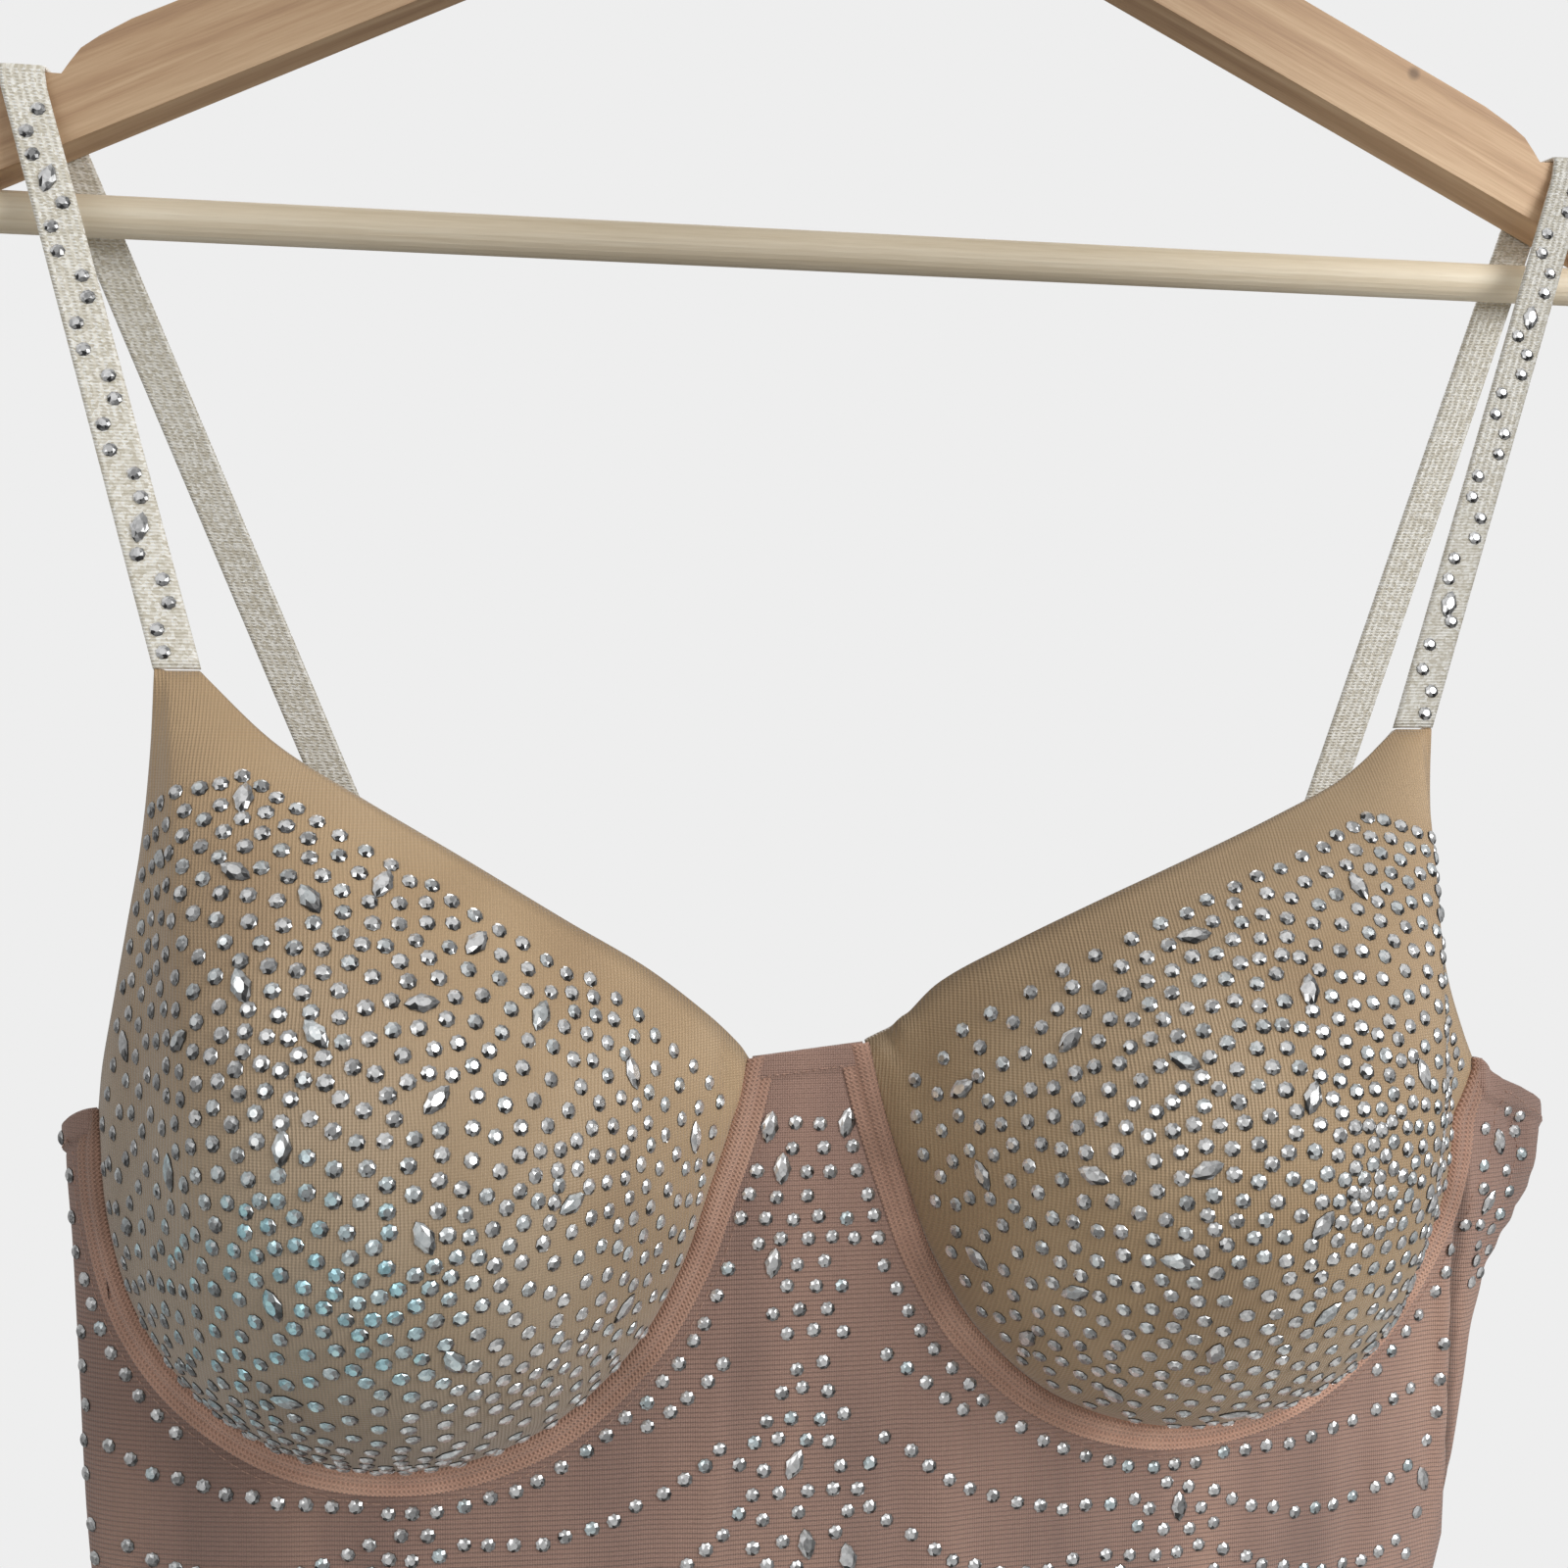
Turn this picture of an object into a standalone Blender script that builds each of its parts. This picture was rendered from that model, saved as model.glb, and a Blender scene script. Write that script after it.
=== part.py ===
"""Mermaid gown with padded cups, hanging by its straps on a wooden hanger with a trouser bar.

Metres, +Z up, seen from the front along +Y with +X to the right. The origin is the seat of the
hanger's hook, where a rail carries it.
"""
import math

import bpy
import bmesh
from mathutils import Vector

GAP = 0.0003

# Hanger: a flat wooden yoke, a round bar across it and a wire hook
YOKE_THICK = 0.012
YOKE_EDGE = 0.0012
ARM_SLOPE = 0.483
ARM_UNDER_Z = -0.097
ARM_FACE = 0.022
NOTCH_X = 0.1885
NOTCH_BACK_X = 0.1862
NOTCH_Z = -0.168
BAR_RADIUS = 0.00475
BAR_Z = -0.198
BAR_HALF = 0.2162
HOOK_WIRE = 0.002
HOOK_RADIUS = 0.022
HOOK_CENTRE_Z = -0.020
HOOK_SHANK_Z = -0.088
HOOK_BORE_TOP_Z = -0.050
HOOK_START = -38
HOOK_SWEEP = 240

# Gown: walls, and where its centre line hangs below the hanger
GOWN_X = -0.0126
GORE_LEAN = -0.0020
LEAN_END_Z = -0.550
PANEL_WALL = 0.0015
CUP_WALL = 0.0035
CASING_WALL = 0.0020
CASING_WIDTH = 0.0062
CASING_PROUD = 0.0004
CASING_CROWN = 0.0011
STRAP_WIDTH = 0.0098
STRAP_WALL = 0.0012
STRAP_CORNER = 0.0004
STRAP_DROP = 0.002
STRAP_FOOT_DRIFT = 0.008
CUP_DEPTH = 0.046
CUP_ROW_EASE = 1.4
CUP_LOW_CREST = 0.64
CUP_OUTER = {"start": 0.66, "end": 0.86, "drop": 0.5}
GORE_TOP_Z = -0.3875
GORE_TILT = 0.11
GORE_LEVEL = 0.12
BLEND_Z = -0.505
EVEN_Z = -0.640
EVEN_EASE = 1.5
HEM_Z = -1.620
FLUTES = 5

# Body sections from the top edge to the hem: height, half width, how much wider the right side
# hangs, front and back half depth, and the swing of the hem's flutes
BODY = (
    {"z": -0.380, "half": 0.1680, "flare": 0.022, "front": 0.0280, "back": 0.0230, "flute": 0.0},
    {"z": -0.412, "half": 0.1675, "flare": 0.0275, "front": 0.0280, "back": 0.0230, "flute": 0.0},
    {"z": -0.430, "half": 0.1662, "flare": 0.0255, "front": 0.0278, "back": 0.0228, "flute": 0.0},
    {"z": -0.453, "half": 0.1650, "flare": 0.0145, "front": 0.0275, "back": 0.0225, "flute": 0.0},
    {"z": -0.505, "half": 0.1620, "flare": 0.008, "front": 0.0260, "back": 0.0220, "flute": 0.0},
    {"z": -0.600, "half": 0.1500, "flare": 0.0, "front": 0.0220, "back": 0.0210, "flute": 0.0},
    {"z": -0.700, "half": 0.1740, "flare": 0.0, "front": 0.0220, "back": 0.0230, "flute": 0.0},
    {"z": -0.800, "half": 0.1980, "flare": 0.0, "front": 0.0230, "back": 0.0240, "flute": 0.0},
    {"z": -0.920, "half": 0.1930, "flare": 0.0, "front": 0.0230, "back": 0.0240, "flute": 0.0},
    {"z": -1.060, "half": 0.1720, "flare": 0.0, "front": 0.0230, "back": 0.0230, "flute": 0.0},
    {"z": -1.180, "half": 0.1540, "flare": 0.0, "front": 0.0240, "back": 0.0240, "flute": 0.0012},
    {"z": -1.290, "half": 0.1720, "flare": 0.0, "front": 0.0290, "back": 0.0300, "flute": 0.0045},
    {"z": -1.420, "half": 0.2320, "flare": 0.0, "front": 0.0380, "back": 0.0400, "flute": 0.0090},
    {"z": -1.540, "half": 0.2970, "flare": 0.0, "front": 0.0460, "back": 0.0500, "flute": 0.0130},
    {"z": -1.620, "half": 0.3350, "flare": 0.0, "front": 0.0500, "back": 0.0560, "flute": 0.0150},
)

# Wire line between cup and casing, on the body's skin: distance round from the centre, height
WIRE = (
    {"s": 0.0135, "z": -0.3875},
    {"s": 0.0172, "z": -0.4020},
    {"s": 0.0222, "z": -0.4170},
    {"s": 0.0290, "z": -0.4355},
    {"s": 0.0405, "z": -0.4540},
    {"s": 0.0600, "z": -0.4705},
    {"s": 0.0860, "z": -0.4785},
    {"s": 0.1140, "z": -0.4755},
    {"s": 0.1370, "z": -0.4625},
    {"s": 0.1515, "z": -0.4450},
    {"s": 0.1588, "z": -0.4240},
    {"s": 0.1610, "z": -0.3995},
)

# Neckline edge of a cup from the gore to the strap, then its armhole edge from the side to the
# strap: distance out from the gown's centre, depth, height, how much the left side hangs above
# the right (half of it), and how much wider the right side hangs
NECKLINE = (
    {"x": 0.0185, "y": -0.0310, "z": -0.3830, "lift": -0.0018, "wide": 0.0},
    {"x": 0.0265, "y": -0.0370, "z": -0.3745, "lift": -0.0028, "wide": 0.0},
    {"x": 0.0405, "y": -0.0450, "z": -0.3645, "lift": -0.0019, "wide": 0.0},
    {"x": 0.0580, "y": -0.0510, "z": -0.3545, "lift": -0.0012, "wide": 0.0},
    {"x": 0.0800, "y": -0.0530, "z": -0.3425, "lift": 0.0005, "wide": 0.0005},
    {"x": 0.1000, "y": -0.0500, "z": -0.3320, "lift": 0.0020, "wide": 0.0015},
    {"x": 0.1180, "y": -0.0440, "z": -0.3220, "lift": 0.0035, "wide": 0.0025},
    {"x": 0.1342, "y": -0.0370, "z": -0.3086, "lift": 0.0055, "wide": 0.0030},
)
ARMHOLE = (
    {"x": 0.1570, "y": -0.0170, "z": -0.3885, "lift": 0.0, "wide": 0.0085},
    {"x": 0.1540, "y": -0.0225, "z": -0.3750, "lift": 0.0, "wide": 0.0045},
    {"x": 0.1505, "y": -0.0270, "z": -0.3590, "lift": 0.0010, "wide": 0.0030},
    {"x": 0.1470, "y": -0.0310, "z": -0.3425, "lift": 0.0022, "wide": 0.0025},
    {"x": 0.1446, "y": -0.0345, "z": -0.3250, "lift": 0.0040, "wide": 0.0025},
    {"x": 0.1434, "y": -0.0370, "z": -0.3086, "lift": 0.0055, "wide": 0.0028},
)

# The two sides as they hang: direction, share of the lifts and of the extra width, top of the
# side seam, back strap's foot
SIDES = {
    "left": {"sign": -1, "rise": 1, "flare": 0, "side_top": -0.4050, "side_lift": 0.0,
             "back_foot": 0.0765},
    "right": {"sign": 1, "rise": -1, "flare": 1, "side_top": -0.4110, "side_lift": 0.0040,
              "back_foot": 0.1155},
}
# Of the right side's extra width, the cup takes a part between two shares of the way round from
# the centre to the seam, and the wing beyond the casing takes the rest
CUP_STRETCH = {"start": 0.60, "end": 0.92}
WING_STRETCH = {"start": 0.955, "end": 1.0}
CUP_PULL = {"part": 0.15, "top_part": 0.42, "low_z": -0.410, "top_z": -0.398}
WING_TOP_ROUND = 1.6
BACK_TOP_Z = -0.4200
BACK_FOOT_Z = -0.4350

# Wooden yoke, its right half from the crown to the tip and back: distance out, height
CROWN = ((0.0, -0.0680), (0.009, -0.0687), (0.0165, -0.0725), (0.0235, -0.0795), (0.031, -0.0880))
SHOULDER = (
    (0.165, -0.1547), (0.172, -0.1590), (0.1760, -0.1620), (0.1782, -0.1650), (0.1802, -0.1680),
)
TIP = (
    (0.1945, -0.1680), (0.1960, -0.1656), (0.1992, -0.1648), (0.2080, -0.1680), (0.2170, -0.1735),
    (0.2230, -0.1800), (0.2250, -0.1870), (0.2250, -0.1980), (0.2215, -0.2045), (0.2150, -0.2070),
    (0.2085, -0.2070), (0.2048, -0.2045), (0.2030, -0.1995),
)

# Grid steps of the cloth, and stations of the straps and the hook
GORE_COLS = 2
CASING_COLS = 20
WING_COLS = 3
BLEND_ROWS = 7
SKIRT_ROWS = 18
BACK_COLS = 34
BACK_ROWS = 23
CUP_ROWS = 14
CASING_ACROSS = 4
STRAP_ACROSS = 2
STRAP_FRONT_STEPS = 12
STRAP_BEND_STEPS = 3
STRAP_BACK_STEPS = 14
STRAP_FOOT_STEPS = 3
LOOP_STEPS = 16
HOOK_STEPS = 40
ROUND_SIDES = 24


def clear_scene():
    """Empty the scene that the script starts in."""
    for thing in list(bpy.data.objects):
        bpy.data.objects.remove(thing, do_unlink=True)


def make_collection(name):
    """A collection in the scene."""
    collection = bpy.data.collections.new(name)
    bpy.context.scene.collection.children.link(collection)
    return collection


def make_material(name, colour, roughness, metallic=0.0):
    """A Principled material."""
    material = bpy.data.materials.new(name)
    material.use_nodes = True
    shader = material.node_tree.nodes["Principled BSDF"]
    shader.inputs["Base Color"].default_value = (*colour, 1.0)
    shader.inputs["Roughness"].default_value = roughness
    shader.inputs["Metallic"].default_value = metallic
    material.diffuse_color = (*colour, 1.0)
    return material


def add_object(name, mesh, material, collection):
    """Link a mesh as one named piece of the gown or the hanger."""
    mesh.name = name
    mesh.materials.clear()
    mesh.materials.append(material)
    piece = bpy.data.objects.new(name, mesh)
    collection.objects.link(piece)
    return piece


def spline(rows, keys, place, at):
    """Value of several columns at `place`, on a cubic through the rows' `at` column."""
    marks = [row[at] for row in rows]
    rising = marks[-1] > marks[0]
    low, high = min(marks[0], marks[-1]), max(marks[0], marks[-1])
    place = max(low, min(high, place))
    index = 0
    while index < len(rows) - 2 and (place > marks[index + 1]) == rising and place != marks[index + 1]:
        index += 1
    before, after = rows[max(index - 1, 0)], rows[min(index + 2, len(rows) - 1)]
    start, end = rows[index], rows[index + 1]
    span = end[at] - start[at]
    t = (place - start[at]) / span
    values = []
    for key in keys:
        slope_in = (end[key] - before[key]) / (end[at] - before[at]) * span
        slope_out = (after[key] - start[key]) / (after[at] - start[at]) * span
        values.append(
            (2 * t ** 3 - 3 * t ** 2 + 1) * start[key] + (t ** 3 - 2 * t ** 2 + t) * slope_in
            + (3 * t ** 2 - 2 * t ** 3) * end[key] + (t ** 3 - t ** 2) * slope_out
        )
    return values


def with_lengths(points):
    """Rows that carry each point's distance along the line through them, from 0 to 1."""
    reach = [0.0]
    for one, two in zip(points, points[1:]):
        reach.append(reach[-1] + (two - one).length)
    return [
        {"t": distance / reach[-1], "x": point.x, "y": point.y, "z": point.z}
        for distance, point in zip(reach, points)
    ]


def along(rows, t):
    """Point at the fraction t of a line made by with_lengths."""
    return Vector(spline(rows, ("x", "y", "z"), t, "t"))


SECTION_STEPS = 96
section_cache = {}


def section(half, depth):
    """A quarter of a body section, from the centre to the side seam: arc, x, y and bearing."""
    key = (round(half, 6), round(depth, 6))
    if key not in section_cache:
        stations = []
        arc = 0.0
        for step in range(SECTION_STEPS + 1):
            turn = math.pi / 2 * step / SECTION_STEPS
            x = half * math.sin(turn)
            y = depth * math.cos(turn)
            if stations:
                arc += math.hypot(x - stations[-1][1], y - stations[-1][2])
            bearing = math.atan2(math.sin(turn) / half, math.cos(turn) / depth)
            stations.append((arc, x, y, bearing))
        section_cache[key] = stations
    return section_cache[key]


def on_section(stations, arc):
    """Point and bearing of the outward normal at a distance round a quarter section."""
    arc = max(0.0, min(arc, stations[-1][0]))
    low, high = 0, len(stations) - 1
    while high - low > 1:
        middle = (low + high) // 2
        if stations[middle][0] <= arc:
            low = middle
        else:
            high = middle
    share = (arc - stations[low][0]) / (stations[high][0] - stations[low][0])
    return [stations[low][i] + share * (stations[high][i] - stations[low][i]) for i in (1, 2, 3)]


def reach_round(z, face):
    """Distance round the plain section from its centre to the side seam."""
    half, depth = spline(BODY, ("half", face), z, "z")
    return section(half, depth)[-1][0]


def skin(side, s, z, face="front", depth=0.0):
    """Point of the body's cloth: s is the distance round from the centre, depth goes inward."""
    half, flare, front, back, flute = spline(
        BODY, ("half", "flare", "front", "back", "flute"), z, "z"
    )
    thick = front if face == "front" else back
    plain = section(half, thick)
    hung = section(half + flare * SIDES[side]["flare"], thick)
    share = min(1.0, abs(s) / plain[-1][0])
    arc = abs(s)
    pull = (z - CUP_PULL["low_z"]) / (CUP_PULL["top_z"] - CUP_PULL["low_z"])
    part = CUP_PULL["part"] + (CUP_PULL["top_part"] - CUP_PULL["part"]) * max(0.0, min(1.0, pull))
    for stretch, weight in ((CUP_STRETCH, part), (WING_STRETCH, 1 - part)):
        t = (share - stretch["start"]) / (stretch["end"] - stretch["start"])
        t = max(0.0, min(1.0, t))
        arc += (hung[-1][0] - plain[-1][0]) * weight * (3 - 2 * t) * t ** 2
    x, y, bearing = on_section(hung, arc)
    wave = flute * math.cos(FLUTES * math.pi * share) * (1 - share ** 4)
    x += (wave - depth) * math.sin(bearing)
    y += (wave - depth) * math.cos(bearing)
    fade = max(0.0, min(1.0, (z - LEAN_END_Z) / 0.06))
    lean = GORE_LEAN * fade * (1 - share)
    way = -1 if face == "front" else 1
    return Vector((GOWN_X + lean + SIDES[side]["sign"] * x, way * y, z))


WIRE_LINE = with_lengths([Vector((row["s"], 0.0, row["z"])) for row in WIRE])


def wire(t, offset=0.0):
    """Distance round and height at the fraction t of the wire line, moved out by offset."""
    here = along(WIRE_LINE, t)
    step = 0.01
    run = along(WIRE_LINE, min(1.0, t + step)) - along(WIRE_LINE, max(0.0, t - step))
    run.normalize()
    outward = Vector((run.z, 0.0, -run.x * min(1.0, t / GORE_LEVEL)))
    outward.normalize()
    here += outward * offset
    return here.x, here.z


def gore_slope(side, s, t):
    """How far the gore's tilt and the side's lift raise a place near the wire line's ends."""
    tilt = GORE_TILT * s * SIDES[side]["sign"] * max(0.0, 1 - 8 * t)
    return tilt + SIDES[side]["side_lift"] * max(0.0, 8 * t - 7)


def wall(name, point, cols, rows, thickness, material, collection):
    """A closed wall through a grid of points: point(column, row, depth) is a place in the cloth."""
    bm = bmesh.new()
    layers = []
    for depth in (0.0, thickness):
        layers.append([
            [bm.verts.new(point(col, row, depth)) for col in range(cols + 1)]
            for row in range(rows + 1)
        ])
    outer, inner = layers
    for row in range(rows):
        for col in range(cols):
            corners = ((row, col), (row, col + 1), (row + 1, col + 1), (row + 1, col))
            bm.faces.new([outer[j][i] for j, i in corners])
            bm.faces.new([inner[j][i] for j, i in reversed(corners)])
    rim = [(0, col) for col in range(cols)]
    rim += [(row, cols) for row in range(rows)]
    rim += [(rows, col) for col in range(cols, 0, -1)]
    rim += [(row, 0) for row in range(rows, 0, -1)]
    for here, there in zip(rim, rim[1:] + rim[:1]):
        bm.faces.new([
            outer[there[0]][there[1]], outer[here[0]][here[1]],
            inner[here[0]][here[1]], inner[there[0]][there[1]],
        ])
    bmesh.ops.recalc_face_normals(bm, faces=bm.faces)
    mesh = bpy.data.meshes.new(name)
    bm.to_mesh(mesh)
    bm.free()
    mesh.shade_smooth()
    mesh.set_sharp_from_angle(angle=math.radians(40))
    return add_object(name, mesh, material, collection)


def front_top(side, col):
    """Share of the way round and height of the front's top edge, by column from the centre."""
    clear = CASING_WIDTH + 3 * GAP
    if col <= GORE_COLS:
        s, z = wire(0.0, clear)
        s *= col / GORE_COLS
        z += gore_slope(side, s, 0.0) + (GORE_TOP_Z - z) * (1 - col / GORE_COLS)
    elif col <= GORE_COLS + CASING_COLS:
        t = (col - GORE_COLS) / CASING_COLS
        s, z = wire(t, clear)
        z += gore_slope(side, s, t)
    else:
        t = (col - GORE_COLS - CASING_COLS) / WING_COLS
        s, z = wire(1.0, clear)
        z += gore_slope(side, s, 1.0)
        z += (SIDES[side]["side_top"] - z) * t ** WING_TOP_ROUND
        s += (reach_round(z, "front") - s) * t
    return s / reach_round(z, "front"), z


def build_front(material, collection):
    """Front of the gown with the gore: it hangs from the casings and the side seams."""
    half_cols = GORE_COLS + CASING_COLS + WING_COLS

    def point(col, row, depth):
        side = "left" if col < half_cols else "right"
        out = abs(col - half_cols)
        share, top = front_top(side, out)
        if row <= BLEND_ROWS:
            z = top + (BLEND_Z - top) * row / BLEND_ROWS
        else:
            z = BLEND_Z + (HEM_Z - BLEND_Z) * (row - BLEND_ROWS) / SKIRT_ROWS
        even = min(1.0, (top - z) / (top - EVEN_Z)) ** EVEN_EASE
        share += (out / half_cols - share) * even
        s = share * reach_round(z, "front")
        place = skin(side, s, z, "front", depth)
        if out == half_cols:
            place.y -= GAP / 2
        return place

    rows = BLEND_ROWS + SKIRT_ROWS
    return wall("front_panel", point, 2 * half_cols, rows, PANEL_WALL, material, collection)


def build_back(material, collection):
    """Back of the gown, cut low, from side seam to side seam."""

    def point(col, row, depth):
        out = abs(2 * col / BACK_COLS - 1)
        side = "left" if 2 * col < BACK_COLS else "right"
        top = BACK_TOP_Z + (SIDES[side]["side_top"] - BACK_TOP_Z) * out ** 2
        z = top + (HEM_Z - top) * row / BACK_ROWS
        place = skin(side, out * reach_round(z, "back"), z, "back", depth)
        if out == 1.0:
            place.y += GAP / 2
        return place

    return wall("back_panel", point, BACK_COLS, BACK_ROWS, PANEL_WALL, material, collection)


def build_casing(side, material, collection):
    """Tape over the wire, between the cup and the front: a flat band with a round crown."""

    def point(col, row, depth):
        c = col / CASING_ACROSS
        t = row / CASING_COLS
        s, z = wire(t, GAP + CASING_WIDTH * c)
        z += gore_slope(side, s, t)
        lift = CASING_PROUD + CASING_CROWN * math.sin(math.pi * c)
        if depth > 0:
            return skin(side, s, z, "front", CASING_WALL)
        return skin(side, s, z, "front", -lift)

    return wall(f"casing_{side}", point, CASING_ACROSS, CASING_COLS, CASING_WALL, material,
                collection)


def cup_edges(side):
    """The four edges of a cup: wire line, neckline, armhole and the end under the strap."""
    sign = SIDES[side]["sign"]
    rise = SIDES[side]["rise"]
    seam = []
    for col in range(CASING_COLS + 1):
        t = col / CASING_COLS
        s, z = wire(t)
        place = skin(side, s, z + gore_slope(side, s, t))
        seam.append({"t": t, "x": place.x, "y": place.y, "z": place.z})
    lines = []
    for start, table in ((seam[0], NECKLINE), (seam[-1], ARMHOLE)):
        points = [Vector((start["x"], start["y"], start["z"]))]
        for row in table:
            out = row["x"] + row["wide"] * SIDES[side]["flare"]
            points.append(Vector((GOWN_X + sign * out, row["y"], row["z"] + row["lift"] * rise)))
        lines.append(with_lengths(points))
    return seam, lines[0], lines[1]


def cup_surface(side):
    """A function for the cup's outer surface: u from neckline to armhole, v from wire to strap."""
    seam, neck, arm = cup_edges(side)
    gore, outer = along(seam, 0.0), along(seam, 1.0)
    tip_in, tip_out = along(neck, 1.0), along(arm, 1.0)

    def surface(u, v):
        edge = (1 - v) * along(seam, u) + v * tip_in.lerp(tip_out, u)
        edge += (1 - u) * along(neck, v) + u * along(arm, v)
        edge -= (1 - v) * gore.lerp(outer, u) + v * tip_in.lerp(tip_out, u)
        outer_t = (u - CUP_OUTER["start"]) / (CUP_OUTER["end"] - CUP_OUTER["start"])
        outer_t = max(0.0, min(1.0, outer_t))
        across = max(0.0, math.sin(math.pi * u))
        across *= 1 - CUP_OUTER["drop"] * (3 - 2 * outer_t) * outer_t ** 2
        upward = max(0.0, math.sin(math.pi * v ** CUP_LOW_CREST))
        return edge + Vector((0.0, -CUP_DEPTH * across * upward, 0.0))

    return surface


def build_cup(side, material, collection):
    """Moulded padded cup, from the wire line to the strap."""
    surface = cup_surface(side)
    sign = SIDES[side]["sign"]
    nudge = 0.012

    def point(col, row, depth):
        u = col / CASING_COLS
        v = (row / CUP_ROWS) ** CUP_ROW_EASE
        place = surface(u, v)
        if depth > 0:
            du = surface(min(1.0, u + nudge), v) - surface(max(0.0, u - nudge), v)
            dv = surface(u, min(1.0, v + nudge)) - surface(u, max(0.0, v - nudge))
            inward = dv.cross(du) * sign
            level = place.z
            place += inward.normalized() * depth
            if row == CUP_ROWS:
                place.z = level
        return place

    return wall(f"cup_{side}", point, CASING_COLS, CUP_ROWS, CUP_WALL, material, collection)


def strap_line(side):
    """Inner face of a strap, cup to notch to back: place, outward normal and sideways slant."""
    sign = SIDES[side]["sign"]
    surface = cup_surface(side)
    tip = surface(0.5, 1.0)
    over = YOKE_THICK / 2 + GAP
    notch = Vector((sign * NOTCH_X, 0.0, NOTCH_Z + GAP))
    front_foot = Vector((tip.x, tip.y + STRAP_WALL, tip.z + GAP))
    front_top_edge = Vector((notch.x, -over, NOTCH_Z - STRAP_DROP))
    run = front_top_edge - front_foot
    front_turn = math.atan2(run.z, run.y)
    inside = PANEL_WALL + 2 * GAP + STRAP_WALL
    foot_s = SIDES[side]["back_foot"]
    entry = skin(side, foot_s, SIDES[side]["side_top"], "back", inside)
    foot = skin(side, foot_s - STRAP_FOOT_DRIFT, BACK_FOOT_Z, "back", inside)
    beside = skin(side, foot_s + STRAP_WIDTH / 2, SIDES[side]["side_top"], "back", inside)
    slant = (beside.y - entry.y) / (beside.x - entry.x)
    back_x = sign * NOTCH_BACK_X
    back_top_edge = Vector((back_x, over, NOTCH_Z - STRAP_DROP))
    fall = entry - back_top_edge
    back_turn = math.atan2(fall.z, fall.y)

    def normal(turn):
        return Vector((0.0, -math.sin(turn), math.cos(turn)))

    stations = []
    for step in range(STRAP_FRONT_STEPS):
        place = front_foot.lerp(front_top_edge, step / STRAP_FRONT_STEPS)
        stations.append((place, normal(front_turn), 0.0))
    for step in range(STRAP_BEND_STEPS + 1):
        turn = front_turn * (1 - step / STRAP_BEND_STEPS)
        centre = Vector((notch.x, -(over - STRAP_CORNER), notch.z - STRAP_CORNER))
        stations.append((centre + normal(turn) * STRAP_CORNER, normal(turn), 0.0))
    for step in range(STRAP_BEND_STEPS + 1):
        turn = back_turn * step / STRAP_BEND_STEPS
        centre = Vector((back_x, over - STRAP_CORNER, notch.z - STRAP_CORNER))
        stations.append((centre + normal(turn) * STRAP_CORNER, normal(turn), 0.0))
    for step in range(1, STRAP_BACK_STEPS + 1):
        share = step / STRAP_BACK_STEPS
        stations.append((back_top_edge.lerp(entry, share), normal(back_turn), slant * share))
    for step in range(1, STRAP_FOOT_STEPS + 1):
        stations.append((entry.lerp(foot, step / STRAP_FOOT_STEPS), normal(-math.pi / 2), slant))
    return stations


def build_strap(side, material, collection):
    """Elastic strap: sewn to the cup, laid over the hanger's notch, sewn inside the back."""
    stations = strap_line(side)

    def point(col, row, depth):
        place, outward, slant = stations[row]
        shift = STRAP_WIDTH * (col / STRAP_ACROSS - 0.5)
        return place + Vector((shift, shift * slant, 0.0)) + outward * (STRAP_WALL - depth)

    rows = len(stations) - 1
    return wall(f"strap_{side}", point, STRAP_ACROSS, rows, STRAP_WALL, material, collection)


def curve_mesh(name, points, cyclic, **settings):
    """Mesh of a poly curve, with its caps welded."""
    curve = bpy.data.curves.new(name, "CURVE")
    for key, value in settings.items():
        setattr(curve, key, value)
    line = curve.splines.new("POLY")
    line.points.add(len(points) - 1)
    for slot, place in zip(line.points, points):
        slot.co = (*place, 1.0)
    line.use_cyclic_u = cyclic
    holder = bpy.data.objects.new(name, curve)
    bpy.context.scene.collection.objects.link(holder)
    bpy.context.view_layer.update()
    graph = bpy.context.evaluated_depsgraph_get()
    mesh = bpy.data.meshes.new_from_object(holder.evaluated_get(graph))
    bpy.data.objects.remove(holder, do_unlink=True)
    bm = bmesh.new()
    bm.from_mesh(mesh)
    bmesh.ops.remove_doubles(bm, verts=bm.verts, dist=0.00001)
    bmesh.ops.recalc_face_normals(bm, faces=bm.faces)
    bm.to_mesh(mesh)
    bm.free()
    return mesh


def yoke_outline():
    """Outline of the wooden yoke, all the way round."""
    half = list(CROWN)
    half.append((0.040, ARM_UNDER_Z - ARM_SLOPE * 0.040 + ARM_FACE))
    half += SHOULDER
    half += TIP
    for x in (0.199, 0.014):
        half.append((x, ARM_UNDER_Z - ARM_SLOPE * x))
    half += [(0.007, -0.1012), (0.0, -0.1003)]
    left = [(-x, z) for x, z in reversed(half[1:-1])]
    return half + left


def make_cutter(name, radius, depth, location, turn, collection):
    """A round cutter for a bore."""
    bpy.ops.mesh.primitive_cylinder_add(vertices=ROUND_SIDES, radius=radius, depth=depth,
                                        location=location, rotation=turn)
    cutter = bpy.context.object
    cutter.name = name
    cutter.hide_render = True
    cutter.display_type = "WIRE"
    for owner in list(cutter.users_collection):
        owner.objects.unlink(cutter)
    collection.objects.link(cutter)
    return cutter


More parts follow.
